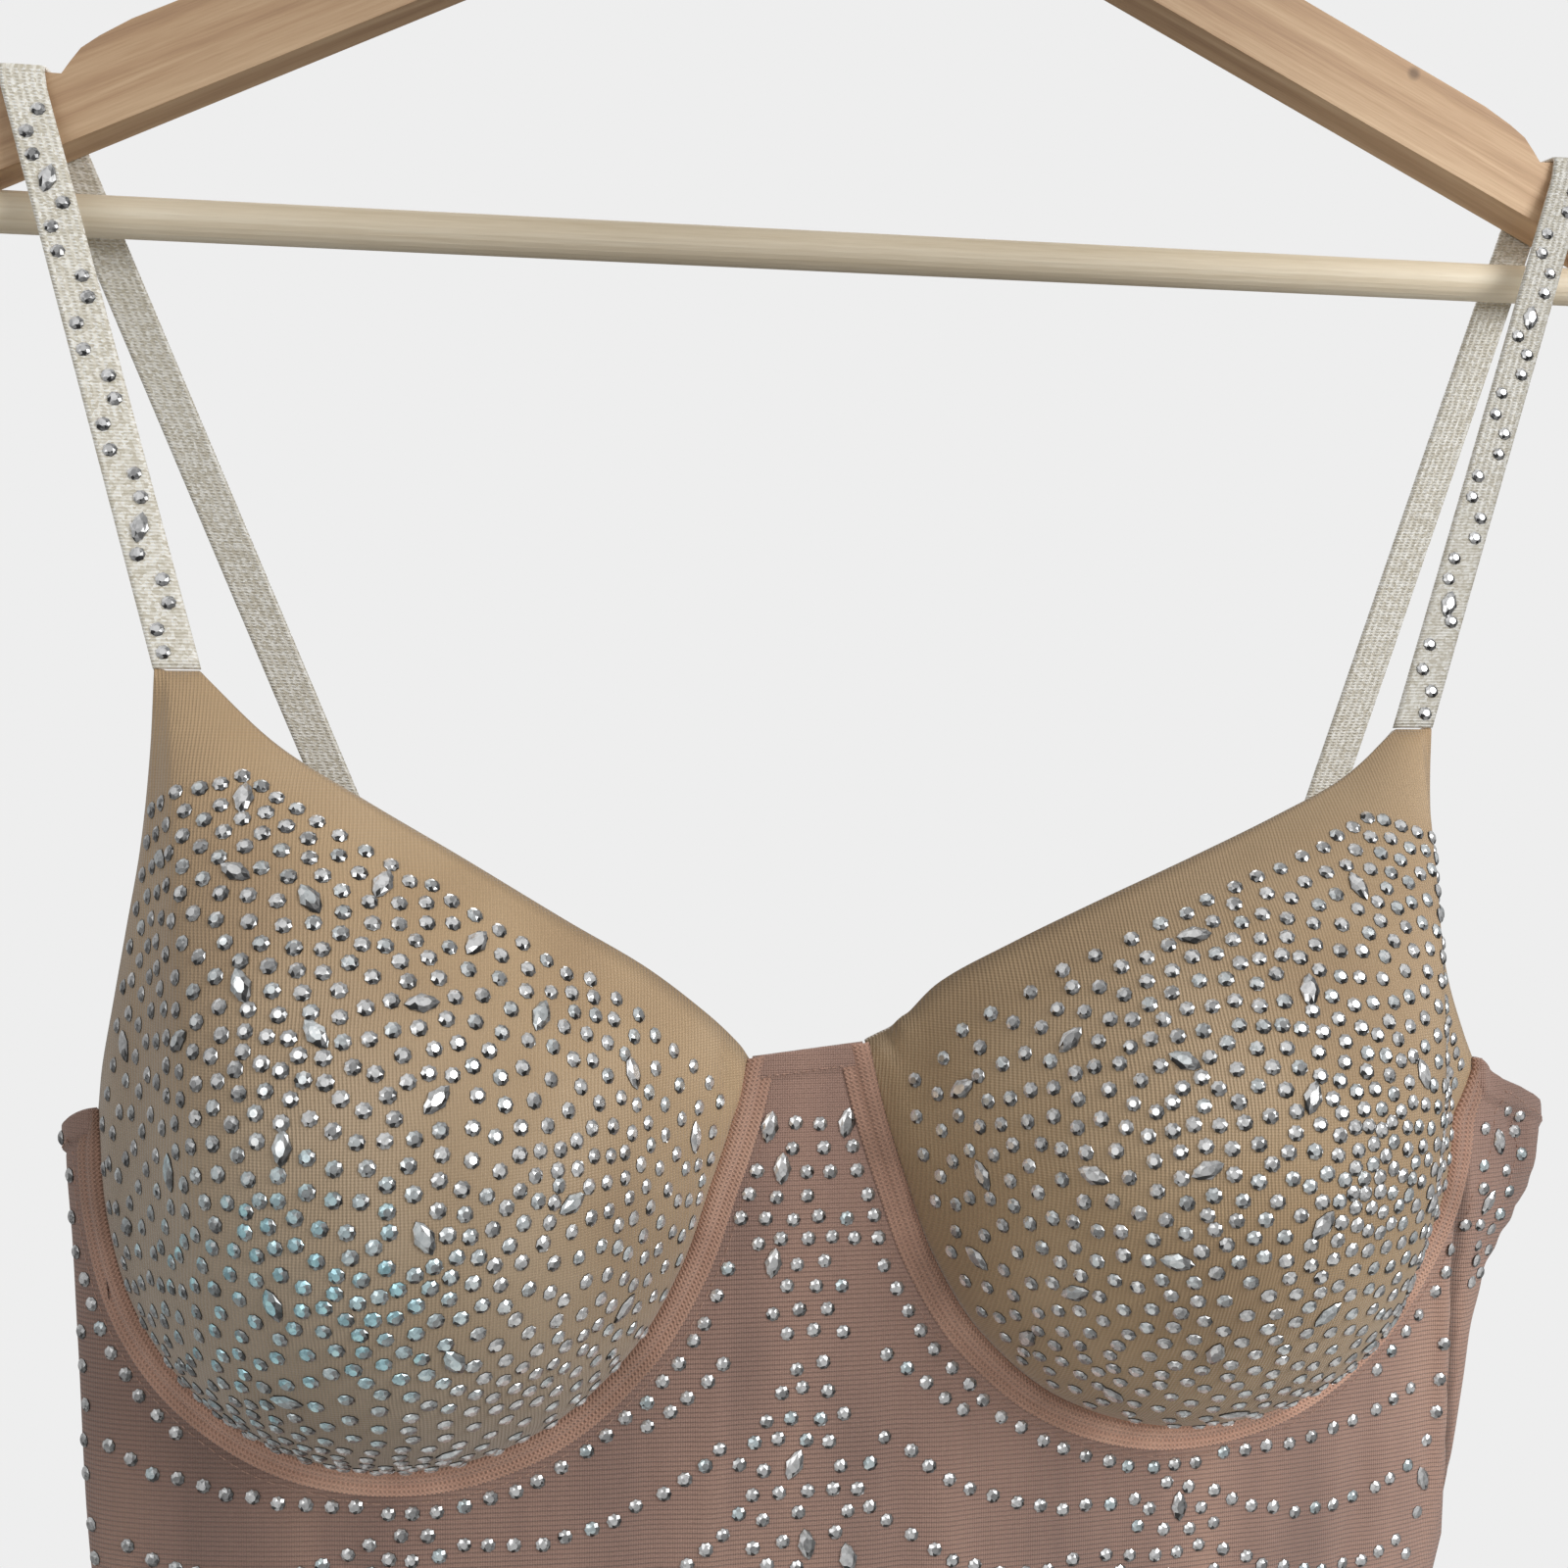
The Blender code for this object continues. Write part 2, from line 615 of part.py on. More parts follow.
def build_yoke(material, collection, cutters):
    """Wooden yoke with rounded edges, bored for the hook's shank and the bar's two ends."""
    outline = [(x, z, 0.0) for x, z in yoke_outline()]
    mesh = curve_mesh("hanger_yoke", outline, True, dimensions="2D", fill_mode="BOTH",
                      extrude=YOKE_THICK / 2)
    yoke = add_object("hanger_yoke", mesh, material, collection)
    yoke.rotation_euler.x = math.pi / 2
    edge = yoke.modifiers.new("edges", "BEVEL")
    edge.width = YOKE_EDGE
    edge.segments = 2
    edge.limit_method = "ANGLE"
    edge.angle_limit = math.radians(60)
    bore_bottom = HOOK_SHANK_Z - GAP
    shank = make_cutter("cut_shank", HOOK_WIRE + GAP, HOOK_BORE_TOP_Z - bore_bottom,
                        (0.0, 0.0, (HOOK_BORE_TOP_Z + bore_bottom) / 2), (0.0, 0.0, 0.0), cutters)
    bar = make_cutter("cut_bar", BAR_RADIUS + GAP, 2 * (BAR_HALF + GAP),
                      (0.0, 0.0, BAR_Z), (0.0, math.pi / 2, 0.0), cutters)
    for cutter in (shank, bar):
        cut = yoke.modifiers.new(cutter.name, "BOOLEAN")
        cut.operation = "DIFFERENCE"
        cut.solver = "EXACT"
        cut.object = cutter
    return yoke


def build_bar(material, collection):
    """Round wooden bar between the yoke's tips."""
    bpy.ops.mesh.primitive_cylinder_add(vertices=ROUND_SIDES, radius=BAR_RADIUS,
                                        depth=2 * BAR_HALF, location=(0.0, 0.0, BAR_Z),
                                        rotation=(0.0, math.pi / 2, 0.0))
    bar = bpy.context.object
    bar.name = "hanger_bar"
    bar.data.name = "hanger_bar"
    bar.data.materials.append(material)
    bar.data.shade_smooth()
    bar.data.set_sharp_from_angle(angle=math.radians(40))
    for owner in list(bar.users_collection):
        owner.objects.unlink(bar)
    collection.objects.link(bar)
    return bar


def build_hook(material, collection):
    """Wire hook: a shank in the yoke, a neck and an open loop whose inner top is the origin."""
    neck = [
        Vector((0.0, 0.0, HOOK_SHANK_Z)), Vector((0.0, 0.0, -0.072)), Vector((0.0, 0.0, -0.058)),
        Vector((0.0025, 0.0, -0.0492)), Vector((0.0095, 0.0, -0.0424)),
    ]
    loop = []
    for step in range(LOOP_STEPS + 1):
        turn = math.radians(HOOK_START + HOOK_SWEEP * step / LOOP_STEPS)
        loop.append(Vector((HOOK_RADIUS * math.cos(turn), 0.0,
                            HOOK_CENTRE_Z + HOOK_RADIUS * math.sin(turn))))
    line = with_lengths(neck + loop)
    points = [tuple(along(line, step / HOOK_STEPS)) for step in range(HOOK_STEPS + 1)]
    mesh = curve_mesh("hanger_hook", points, False, dimensions="3D", bevel_depth=HOOK_WIRE,
                      bevel_resolution=2, use_fill_caps=True)
    mesh.shade_smooth()
    mesh.set_sharp_from_angle(angle=math.radians(50))
    return add_object("hanger_hook", mesh, material, collection)


def main():
    """Build the gown and its hanger."""
    clear_scene()
    gown = make_collection("mermaid_gown_on_hanger")
    cutters = make_collection("cutters")
    wood = make_material("beech_wood", (0.60, 0.40, 0.22), 0.55)
    pale_wood = make_material("pale_bar_wood", (0.66, 0.54, 0.35), 0.60)
    steel = make_material("hook_steel", (0.60, 0.60, 0.60), 0.25, 1.0)
    cup_knit = make_material("cup_knit", (0.48, 0.31, 0.17), 0.60)
    body_mesh = make_material("body_mesh", (0.36, 0.20, 0.15), 0.70)
    casing_tape = make_material("casing_tape", (0.44, 0.24, 0.17), 0.75)
    elastic = make_material("strap_elastic", (0.62, 0.59, 0.49), 0.45)
    build_yoke(wood, gown, cutters)
    build_bar(pale_wood, gown)
    build_hook(steel, gown)
    build_front(body_mesh, gown)
    build_back(body_mesh, gown)
    for side in SIDES:
        build_cup(side, cup_knit, gown)
        build_casing(side, casing_tape, gown)
        build_strap(side, elastic, gown)


main()
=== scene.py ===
"""Looks of a mermaid gown with padded cups, hanging by its straps on a wooden hanger."""

import math

import bmesh
import bpy
import numpy as np
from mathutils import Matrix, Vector
from mathutils.bvhtree import BVHTree


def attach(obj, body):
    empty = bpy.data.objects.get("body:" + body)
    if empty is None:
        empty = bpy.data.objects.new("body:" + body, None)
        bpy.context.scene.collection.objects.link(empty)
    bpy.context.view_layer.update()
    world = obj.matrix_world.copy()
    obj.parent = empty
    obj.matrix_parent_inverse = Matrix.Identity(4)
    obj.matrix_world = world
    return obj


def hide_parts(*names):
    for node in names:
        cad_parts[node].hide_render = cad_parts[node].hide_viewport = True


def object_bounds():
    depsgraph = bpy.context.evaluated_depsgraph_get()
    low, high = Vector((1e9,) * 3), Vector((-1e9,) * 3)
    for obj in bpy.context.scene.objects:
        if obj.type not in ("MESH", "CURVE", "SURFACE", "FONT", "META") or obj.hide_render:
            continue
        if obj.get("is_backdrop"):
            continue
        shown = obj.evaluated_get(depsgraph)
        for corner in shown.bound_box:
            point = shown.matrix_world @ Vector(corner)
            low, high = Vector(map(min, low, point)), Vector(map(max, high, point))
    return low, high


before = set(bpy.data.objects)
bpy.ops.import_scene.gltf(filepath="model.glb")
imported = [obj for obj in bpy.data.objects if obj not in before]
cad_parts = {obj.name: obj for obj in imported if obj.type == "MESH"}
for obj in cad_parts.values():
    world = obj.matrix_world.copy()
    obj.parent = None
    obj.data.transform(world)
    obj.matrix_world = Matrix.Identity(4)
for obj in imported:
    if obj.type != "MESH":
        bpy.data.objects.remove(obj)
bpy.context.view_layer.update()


# Camera: stands left of the gown's middle, half a metre before it, and looks level at the
# bust, close up, as the photo does.
camera_data = bpy.data.cameras.new("photo_camera")
camera_data.lens = 45
camera_data.sensor_width = 36
camera_data.clip_start = 0.02
camera = bpy.data.objects.new("photo_camera", camera_data)
camera.location = (-0.0971, -0.4658, -0.327)
camera.rotation_euler = (math.radians(90), 0, math.radians(-10))
bpy.context.scene.collection.objects.link(camera)
bpy.context.scene.camera = camera


# Stage: a pale floor below the hem and a plain pale backdrop all round, which only the camera
# sees, so that the stones reflect the softer light and dark of the studio instead.
def linear(colour):
    """A hex sRGB colour as linear red, green, blue and alpha."""
    parts = [int(colour[i:i + 2], 16) / 255 for i in (1, 3, 5)]
    return [p / 12.92 if p <= 0.04045 else ((p + 0.055) / 1.055) ** 2.4 for p in parts] + [1.0]


def add_node(owner, kind, links=None, stops=(), **settings):
    """Add a shader node: links are numbers or sockets by input, stops a ramp's hex colours."""
    tree = owner.node_tree
    node = tree.nodes.new("ShaderNode" + kind)
    for field, value in settings.items():
        setattr(node, field, value)
    for name, value in (links or {}).items():
        if isinstance(value, bpy.types.NodeSocket):
            tree.links.new(value, node.inputs[name])
        else:
            node.inputs[name].default_value = value
    if stops:
        steps = node.color_ramp.elements
        while len(steps) < len(stops):
            steps.new(0.5)
        for step, (place, colour) in zip(steps, stops):
            step.position = place
            step.color = linear(colour)
    return node.outputs


def deselect():
    """Nothing stays selected before the next operator."""
    for thing in bpy.context.selected_objects:
        thing.select_set(False)


scene = bpy.context.scene
scene.view_settings.view_transform = "Standard"

deselect()
bpy.ops.mesh.primitive_cylinder_add(vertices=96, radius=1.8, depth=0.02, location=(0, 0, -1.71))
floor = bpy.context.object
floor.name = "studio_floor"
bpy.ops.object.transform_apply(location=True, rotation=True, scale=True)
paper = bpy.data.materials.new("studio_paper")
paper.use_nodes = True
paper_shader = paper.node_tree.nodes["Principled BSDF"]
paper_shader.inputs["Base Color"].default_value = linear("#DCDCDA")
paper_shader.inputs["Roughness"].default_value = 0.9
floor.data.materials.append(paper)
floor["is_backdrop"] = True

deselect()
bpy.ops.mesh.primitive_uv_sphere_add(segments=48, ring_count=24, radius=8.0)
backdrop = bpy.context.object
backdrop.name = "studio_backdrop"
for ray in ("visible_diffuse", "visible_glossy", "visible_transmission", "visible_shadow"):
    setattr(backdrop, ray, False)
wall_paper = bpy.data.materials.new("backdrop_paper")
wall_paper.use_nodes = True
wall_paper.node_tree.nodes.remove(wall_paper.node_tree.nodes["Principled BSDF"])
glow = add_node(wall_paper, "Emission", {"Color": linear("#EEEEEE"), "Strength": 1.0})
wall_paper.node_tree.links.new(
    glow["Emission"], wall_paper.node_tree.nodes["Material Output"].inputs["Surface"])
backdrop.data.materials.append(wall_paper)
backdrop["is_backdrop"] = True

# The studio's light: bright above and to the left, dark below and to the right
world = bpy.data.worlds.new("studio")
scene.world = world
world.use_nodes = True
sky_place = add_node(world, "TexCoord")
sky_fall = add_node(world, "VectorMath",
                    {0: sky_place["Generated"], 1: (-0.30, -0.35, 0.85)},
                    operation="DOT_PRODUCT")
sky_shade = add_node(world, "MapRange",
                     {"Value": sky_fall["Value"], "From Min": -0.75, "From Max": 0.75,
                      "To Min": 0.16, "To Max": 1.0})
world.node_tree.links.new(
    sky_shade["Result"], world.node_tree.nodes["Background"].inputs["Color"])
world.node_tree.nodes["Background"].inputs["Strength"].default_value = 0.52

LAMPS = (
    {"name": "key", "place": (0.75, -0.85, 0.05), "size": 0.7, "power": 7.5},
    {"name": "fill", "place": (-1.30, -1.70, 0.20), "size": 1.4, "power": 5.0},
    {"name": "back", "place": (0.20, 1.60, 0.90), "size": 1.2, "power": 12.0},
)
for lamp in LAMPS:
    light_data = bpy.data.lights.new(lamp["name"], "AREA")
    light_data.size = lamp["size"]
    light_data.energy = lamp["power"]
    light = bpy.data.objects.new(lamp["name"], light_data)
    light.location = lamp["place"]
    aim = Vector((-0.01, -0.02, -0.42)) - light.location
    light.rotation_euler = aim.to_track_quat("-Z", "Y").to_euler()
    scene.collection.objects.link(light)


# Hanger: a yoke sawn from pale beech, sanded and lacquered matt, a paler turned dowel let into
# its tips and a bent wire hook. The CAD solids stay and get their finishes here.
def start_material(name, colour, roughness, metallic=0.0, **sockets):
    """A Principled material and its shader, with constants on the shader's own sockets."""
    material = bpy.data.materials.new(name)
    material.use_nodes = True
    shader = material.node_tree.nodes["Principled BSDF"]
    shader.inputs["Base Color"].default_value = linear(colour)
    shader.inputs["Roughness"].default_value = roughness
    shader.inputs["Metallic"].default_value = metallic
    for socket, value in sockets.items():
        shader.inputs[socket.replace("_", " ")].default_value = value
    material.diffuse_color = linear(colour)
    return material, shader


GAIN_INPUTS = ("Value", "From Min", "From Max", "To Min", "To Max")


def finish_surface(material, shader, colour, gains=(), height=None, depth=0.0):
    """Link a colour, and the bump of a height whose depth is in metres. Each gain is a value, its
    two ends and how much lighter or darker the colour is at each end."""
    for row in gains:
        gain = add_node(material, "MapRange", dict(zip(GAIN_INPUTS, row)))
        colour = add_node(material, "VectorMath", {0: colour, "Scale": gain["Result"]},
                          operation="SCALE")["Vector"]
    material.node_tree.links.new(colour, shader.inputs["Base Color"])
    if height is not None:
        bump = add_node(material, "Bump", {"Height": height, "Distance": depth, "Strength": 1.0})
        material.node_tree.links.new(bump["Normal"], shader.inputs["Normal"])


def wood_material(name, stops, slope, roughness, knot=None):
    """Straight-grained pale wood, its grain along the arm: fine pores and wider growth bands."""
    material, shader = start_material(name, stops[1][1], roughness)
    place = add_node(material, "TexCoord")["Object"]
    parts = add_node(material, "SeparateXYZ", {"Vector": place})
    mirrored = add_node(material, "Math", {0: parts["X"]}, operation="ABSOLUTE")["Value"]
    joined = add_node(material, "CombineXYZ", {"X": mirrored, "Y": parts["Y"], "Z": parts["Z"]})
    along = add_node(material, "Mapping",
                     {"Vector": joined["Vector"], "Rotation": (0, slope, 0)})["Vector"]
    # Growth bands about 4 mm wide and 120 mm long, pores 0.5 mm wide and 12 mm long
    grain = []
    for scale, form in (((8, 160, 240), {"Detail": 4.0, "Distortion": 0.6}),
                        ((80, 1400, 2000), {"Detail": 2.0})):
        drawn_out = add_node(material, "Mapping", {"Vector": along, "Scale": scale})
        grain.append(add_node(material, "TexNoise",
                              {"Vector": drawn_out["Vector"], "Scale": 1.0, **form})["Fac"])
    band, pore = grain
    wide = add_node(material, "TexNoise", {"Vector": along, "Scale": 9.0})["Fac"]
    fine = add_node(material, "Math", {0: pore, 1: 0.35, 2: band}, operation="MULTIPLY_ADD")
    total = add_node(material, "Math", {0: wide, 1: 0.5, 2: fine["Value"]},
                     operation="MULTIPLY_ADD")
    tone = add_node(material, "MapRange",
                    {"Value": total["Value"], "From Min": 0.62, "From Max": 1.24})
    colour = add_node(material, "ValToRGB", {"Fac": tone["Result"]}, stops)["Color"]
    # The wood is paler towards its ends, painted lighter to the right and darker to the left as
    # painted shade, and the yoke has one small dark knot
    gains = [(mirrored, 0.05, 0.17, 0.88, 1.14), (parts["X"], -0.15, 0.15, 0.92, 1.08)]
    if knot is not None:
        away = add_node(material, "VectorMath", {0: place, 1: knot}, operation="DISTANCE")
        gains.append((away["Value"], 0.0008, 0.0021, 0.50, 1.0))
    finish_surface(material, shader, colour, gains, pore, 0.00010)
    return material


ARM_TURN = math.atan(0.483)
KNOT_PLACE = (0.1455, -0.0060, -0.1476)
yoke_wood = wood_material(
    "sanded_beech", ((0.0, "#A17F61"), (0.5, "#BC9A78"), (1.0, "#D2B491")), -ARM_TURN, 0.55,
    KNOT_PLACE)
bar_wood = wood_material(
    "bare_dowel", ((0.0, "#CFBEA1"), (0.5, "#DFD0B6"), (1.0, "#ECE1CB")), 0.0, 0.6)

# Plated wire: bright, with the faint uneven gloss of handling
wire_steel, wire_shader = start_material("plated_wire", "#BFC1C4", 0.22, 1.0)
wire_place = add_node(wire_steel, "TexCoord")["Object"]
wire_marks = add_node(wire_steel, "TexNoise",
                      {"Vector": wire_place, "Scale": 900.0, "Detail": 3.0})
wire_rough = add_node(wire_steel, "MapRange",
                      {"Value": wire_marks["Fac"], "To Min": 0.16, "To Max": 0.34})
wire_steel.node_tree.links.new(wire_rough["Result"], wire_shader.inputs["Roughness"])
for node_name, finish in (("hanger_yoke", yoke_wood), ("hanger_bar", bar_wood),
                          ("hanger_hook", wire_steel)):
    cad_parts[node_name].material_slots[0].material = finish


# Body: front and back of mauve stretch mesh over a lining, cut in one length from the W-shaped
# top edge and the low back to the flared hem, joined at the side seams. Each is a thin shell on
# its solid's form, with the creases it hangs in.
# The gown hangs a little to the left of the hanger's middle, and its gore leans further
GOWN_X = -0.0126
GORE_LEAN = -0.0020
LEAN_END_Z = -0.550
LEAN_FULL_Z = -0.490
CASING_WIDTH = 0.0062
GAP = 0.0003
GORE_TOP_Z = -0.3875
GORE_TILT = 0.11
TILT_FADE = 8
GORE_LEVEL = 0.12
BLEND_Z = -0.505
EVEN_Z = -0.640
EVEN_EASE = 1.5
HEM_Z = -1.620
FLUTES = 5
BACK_TOP_Z = -0.4200
# Half width, what the right side adds to it, depths in front and behind and the flutes' height
BODY_KEYS = ("z", "half", "flare", "front", "back", "flute")
BODY = [dict(zip(BODY_KEYS, row)) for row in (
    (-0.380, 0.1680, 0.022, 0.0280, 0.0230, 0.0),
    (-0.412, 0.1675, 0.0275, 0.0280, 0.0230, 0.0),
    (-0.430, 0.1662, 0.0255, 0.0278, 0.0228, 0.0),
    (-0.453, 0.1650, 0.0145, 0.0275, 0.0225, 0.0),
    (-0.505, 0.1620, 0.008, 0.0260, 0.0220, 0.0),
    (-0.600, 0.1500, 0.0, 0.0220, 0.0210, 0.0),
    (-0.700, 0.1740, 0.0, 0.0220, 0.0230, 0.0),
    (-0.800, 0.1980, 0.0, 0.0230, 0.0240, 0.0),
    (-0.920, 0.1930, 0.0, 0.0230, 0.0240, 0.0),
    (-1.060, 0.1720, 0.0, 0.0230, 0.0230, 0.0),
    (-1.180, 0.1540, 0.0, 0.0240, 0.0240, 0.0012),
    (-1.290, 0.1720, 0.0, 0.0290, 0.0300, 0.0045),
    (-1.420, 0.2320, 0.0, 0.0380, 0.0400, 0.0090),
    (-1.540, 0.2970, 0.0, 0.0460, 0.0500, 0.0130),
    (-1.620, 0.3350, 0.0, 0.0500, 0.0560, 0.0150),
)]
# The wire line under a cup, as distance round the body from its centre, and height
WIRE = [{"s": s, "z": z} for s, z in (
    (0.0135, -0.3875), (0.0172, -0.4020), (0.0222, -0.4170), (0.0290, -0.4355),
    (0.0405, -0.4540), (0.0600, -0.4705), (0.0860, -0.4785), (0.1140, -0.4755),
    (0.1370, -0.4625), (0.1515, -0.4450), (0.1588, -0.4240), (0.1610, -0.3995),
)]
SIDES = {
    "left": {"sign": -1, "rise": 1, "flare": 0, "side_top": -0.4050, "side_lift": 0.0,
             "back_foot": 0.0765},
    "right": {"sign": 1, "rise": -1, "flare": 1, "side_top": -0.4110, "side_lift": 0.0040,
              "back_foot": 0.1155},
}
# Where round the body the right side's extra width is taken up, and how much of it by the cup
CUP_STRETCH = {"start": 0.60, "end": 0.92}
WING_STRETCH = {"start": 0.955, "end": 1.0}
CUP_PULL = {"part": 0.15, "top_part": 0.42, "low_z": -0.410, "top_z": -0.398}
WING_TOP_ROUND = 1.6


def part_way(value, start, end):
    """How far a value has gone from start to end, held between 0 and 1."""
    return max(0.0, min(1.0, (value - start) / (end - start)))


def eased(value, start, end):
    """How far a value has gone from start to end, slow at both ends."""
    t = part_way(value, start, end)
    return (3 - 2 * t) * t ** 2


def spline(rows, keys, place, at):
    """Value of several columns at `place`, on a cubic through the rows' `at` column."""
    marks = [row[at] for row in rows]
    rising = marks[-1] > marks[0]
    place = sorted((marks[0], place, marks[-1]))[1]
    index = 0
    for mark in marks[1:-1]:
        if place == mark or (place > mark) != rising:
            break
        index += 1
    before, after = rows[max(index - 1, 0)], rows[min(index + 2, len(rows) - 1)]
    start, end = rows[index], rows[index + 1]
    span = end[at] - start[at]
    t = (place - start[at]) / span
    values = []
    for key in keys:
        slope_in = (end[key] - before[key]) / (end[at] - before[at]) * span
        slope_out = (after[key] - start[key]) / (after[at] - start[at]) * span
        values.append(
            (2 * t ** 3 - 3 * t ** 2 + 1) * start[key] + (t ** 3 - 2 * t ** 2 + t) * slope_in
            + (3 * t ** 2 - 2 * t ** 3) * end[key] + (t ** 3 - t ** 2) * slope_out)
    return values


def with_lengths(points):
    """Rows that carry each point's distance along the line through them, from 0 to 1."""
    reach = [0.0]
    for one, two in zip(points, points[1:]):
        reach.append(reach[-1] + (two - one).length)
    return [{"t": d / reach[-1], "x": p.x, "y": p.y, "z": p.z} for d, p in zip(reach, points)]


def along_line(rows, t):
    """Point at the fraction t of a line made by with_lengths."""
    return Vector(spline(rows, ("x", "y", "z"), float(t), "t"))


QUARTER = np.linspace(0.0, math.pi / 2, 97)
section_cache = {}


def section(half, depth):
    """A quarter of a body section, from the centre to the side seam: arc, x, y and bearing."""
    key = (round(half, 6), round(depth, 6))
    if key not in section_cache:
        x = half * np.sin(QUARTER)
        y = depth * np.cos(QUARTER)
        arc = np.concatenate([[0.0], np.cumsum(np.hypot(np.diff(x), np.diff(y)))])
        bearing = np.arctan2(np.sin(QUARTER) / half, np.cos(QUARTER) / depth)
        section_cache[key] = (arc, x, y, bearing)
    return section_cache[key]


def reach_round(z, face):
    """Distance round the plain section from its centre to the side seam."""
    half, depth = spline(BODY, ("half", face), z, "z")
    return section(half, depth)[0][-1]


def skin(side, s, z, face="front", lift=0.0):
    """Point of the body's cloth: s is the distance round from the centre, lift goes outward."""
    half, flare, front, back, flute = spline(BODY, BODY_KEYS[1:], z, "z")
    thick = front if face == "front" else back
    reach = section(half, thick)[0][-1]
    arc, x_line, y_line, bearings = section(half + flare * SIDES[side]["flare"], thick)
    share = min(1.0, abs(s) / reach)
    s = abs(s)
    pull = part_way(z, CUP_PULL["low_z"], CUP_PULL["top_z"])
    part = CUP_PULL["part"] + (CUP_PULL["top_part"] - CUP_PULL["part"]) * pull
    for stretch, weight in ((CUP_STRETCH, part), (WING_STRETCH, 1 - part)):
        s += (arc[-1] - reach) * weight * eased(share, stretch["start"], stretch["end"])
    bearing = np.interp(s, arc, bearings)
    wave = flute * math.cos(FLUTES * math.pi * share) * (1 - share ** 4) + lift
    x = np.interp(s, arc, x_line) + wave * math.sin(bearing)
    y = np.interp(s, arc, y_line) + wave * math.cos(bearing)
    fade = part_way(z, LEAN_END_Z, LEAN_FULL_Z)
    x = GOWN_X + GORE_LEAN * fade * (1 - share) + SIDES[side]["sign"] * x
    return Vector((x, -y if face == "front" else y, z))


WIRE_LINE = with_lengths([Vector((row["s"], 0.0, row["z"])) for row in WIRE])


def wire(t, offset=0.0):
    """Distance round and height at the fraction t of the wire line, moved out by offset."""
    here = along_line(WIRE_LINE, t)
    step = 0.01
    run = along_line(WIRE_LINE, min(1.0, t + step)) - along_line(WIRE_LINE, max(0.0, t - step))
    run.normalize()
    outward = Vector((run.z, 0.0, -run.x * min(1.0, t / GORE_LEVEL)))
    outward.normalize()
    here += outward * offset
    return here.x, here.z


def gore_slope(side, s, t):
    """How far the gore's tilt and the side's lift raise a place near the wire line's ends."""
    tilt = GORE_TILT * s * SIDES[side]["sign"] * max(0.0, 1 - TILT_FADE * t)
    return tilt + SIDES[side]["side_lift"] * max(0.0, 1 - TILT_FADE * (1 - t))


def creases(places, strokes):
    """Outward lift at each place from strokes: two ends in x and z, width and lift at the crest."""
    lift = np.zeros(places.shape[:-1])
    for x0, z0, x1, z1, width, height in strokes:
        start, run = np.array((x0, z0)), np.array((x1 - x0, z1 - z0))
        flat = places[..., (0, 2)] - start
        share = flat @ run / (run @ run)
        near = np.clip(share, 0.0, 1.0)
        away = np.linalg.norm(flat - near[..., None] * run, axis=-1)
        ends = np.clip(np.minimum(near, 1 - near) * 4 + 0.25, 0.0, 1.0)
        lift += height * ends * np.exp(-(away / width) ** 2)
    return lift


def shell(name, places, thickness, lift=None, cloth=None, roll=0.0, flip=False):
    """A closed shell through a grid of places: lift moves the outside, roll rounds the rim."""
    rows, cols = places.shape[0] - 1, places.shape[1] - 1
    across = np.gradient(places, axis=1)
    down = np.gradient(places, axis=0)
    normal = np.cross(across, down)
    normal /= np.maximum(np.linalg.norm(normal, axis=-1, keepdims=True), 1e-12)
    if flip:
        normal = -normal
    outer = places if lift is None else places + normal * lift[..., None]
    inner = outer - normal * thickness
    rim = [(0, col) for col in range(cols)]
    rim += [(row, cols) for row in range(rows)]
    rim += [(rows, col) for col in range(cols, 0, -1)]
    rim += [(row, 0) for row in range(rows, 0, -1)]
    edge = []
    for row, col in rim:
        away = Vector()
        if row in (0, rows):
            step = 1 if row == 0 else -1
            away += Vector(outer[row, col] - outer[row + step, col]).normalized()
        if col in (0, cols):
            step = 1 if col == 0 else -1
            away += Vector(outer[row, col] - outer[row, col + step]).normalized()
        middle = (outer[row, col] + inner[row, col]) / 2
        edge.append(middle + np.array(away.normalized()) * roll)
    count = (rows + 1) * (cols + 1)
    points = np.concatenate([outer.reshape(-1, 3), inner.reshape(-1, 3), np.array(edge)])
    faces = []
    for row in range(rows):
        for col in range(cols):
            a = row * (cols + 1) + col
            face = (a, a + 1, a + cols + 2, a + cols + 1)
            faces.append(face)
            faces.append(tuple(v + count for v in reversed(face)))
    for index, (row, col) in enumerate(rim):
        there = (index + 1) % len(rim)
        a = row * (cols + 1) + col
        b = rim[there][0] * (cols + 1) + rim[there][1]
        middle_a, middle_b = 2 * count + index, 2 * count + there
        faces.append((b, a, middle_a, middle_b))
        faces.append((middle_b, middle_a, a + count, b + count))
    mesh = bpy.data.meshes.new(name)
    mesh.from_pydata([tuple(p) for p in points], [], faces)
    if cloth is not None:
        flat = cloth.reshape(-1, 2)
        rim_flat = np.array([cloth[row, col] for row, col in rim])
        by_vertex = np.concatenate([flat, flat, rim_flat])
        layer = mesh.uv_layers.new(name="cloth")
        corners = np.zeros(len(mesh.loops), np.int32)
        mesh.loops.foreach_get("vertex_index", corners)
        layer.data.foreach_set("uv", by_vertex[corners].astype(np.float32).ravel())
    built = bmesh.new()
    built.from_mesh(mesh)
    bmesh.ops.recalc_face_normals(built, faces=built.faces)
    built.to_mesh(mesh)
    built.free()
    mesh.shade_smooth()
    piece = bpy.data.objects.new(name, mesh)
    scene.collection.objects.link(piece)
    return piece


GORE_STEPS, WIRE_STEPS, WING_STEPS = 8, 72, 16
TOP_ROWS, LOW_ROWS = 84, 96
TOP_ROW_EASE = 1.15
HALF_COLS = GORE_STEPS + WIRE_STEPS + WING_STEPS
# The front runs just under the casing's inner edge, and stones keep clear of its outer edge
UNDERLAP = 0.0008
CLEAR = CASING_WIDTH + 3 * GAP


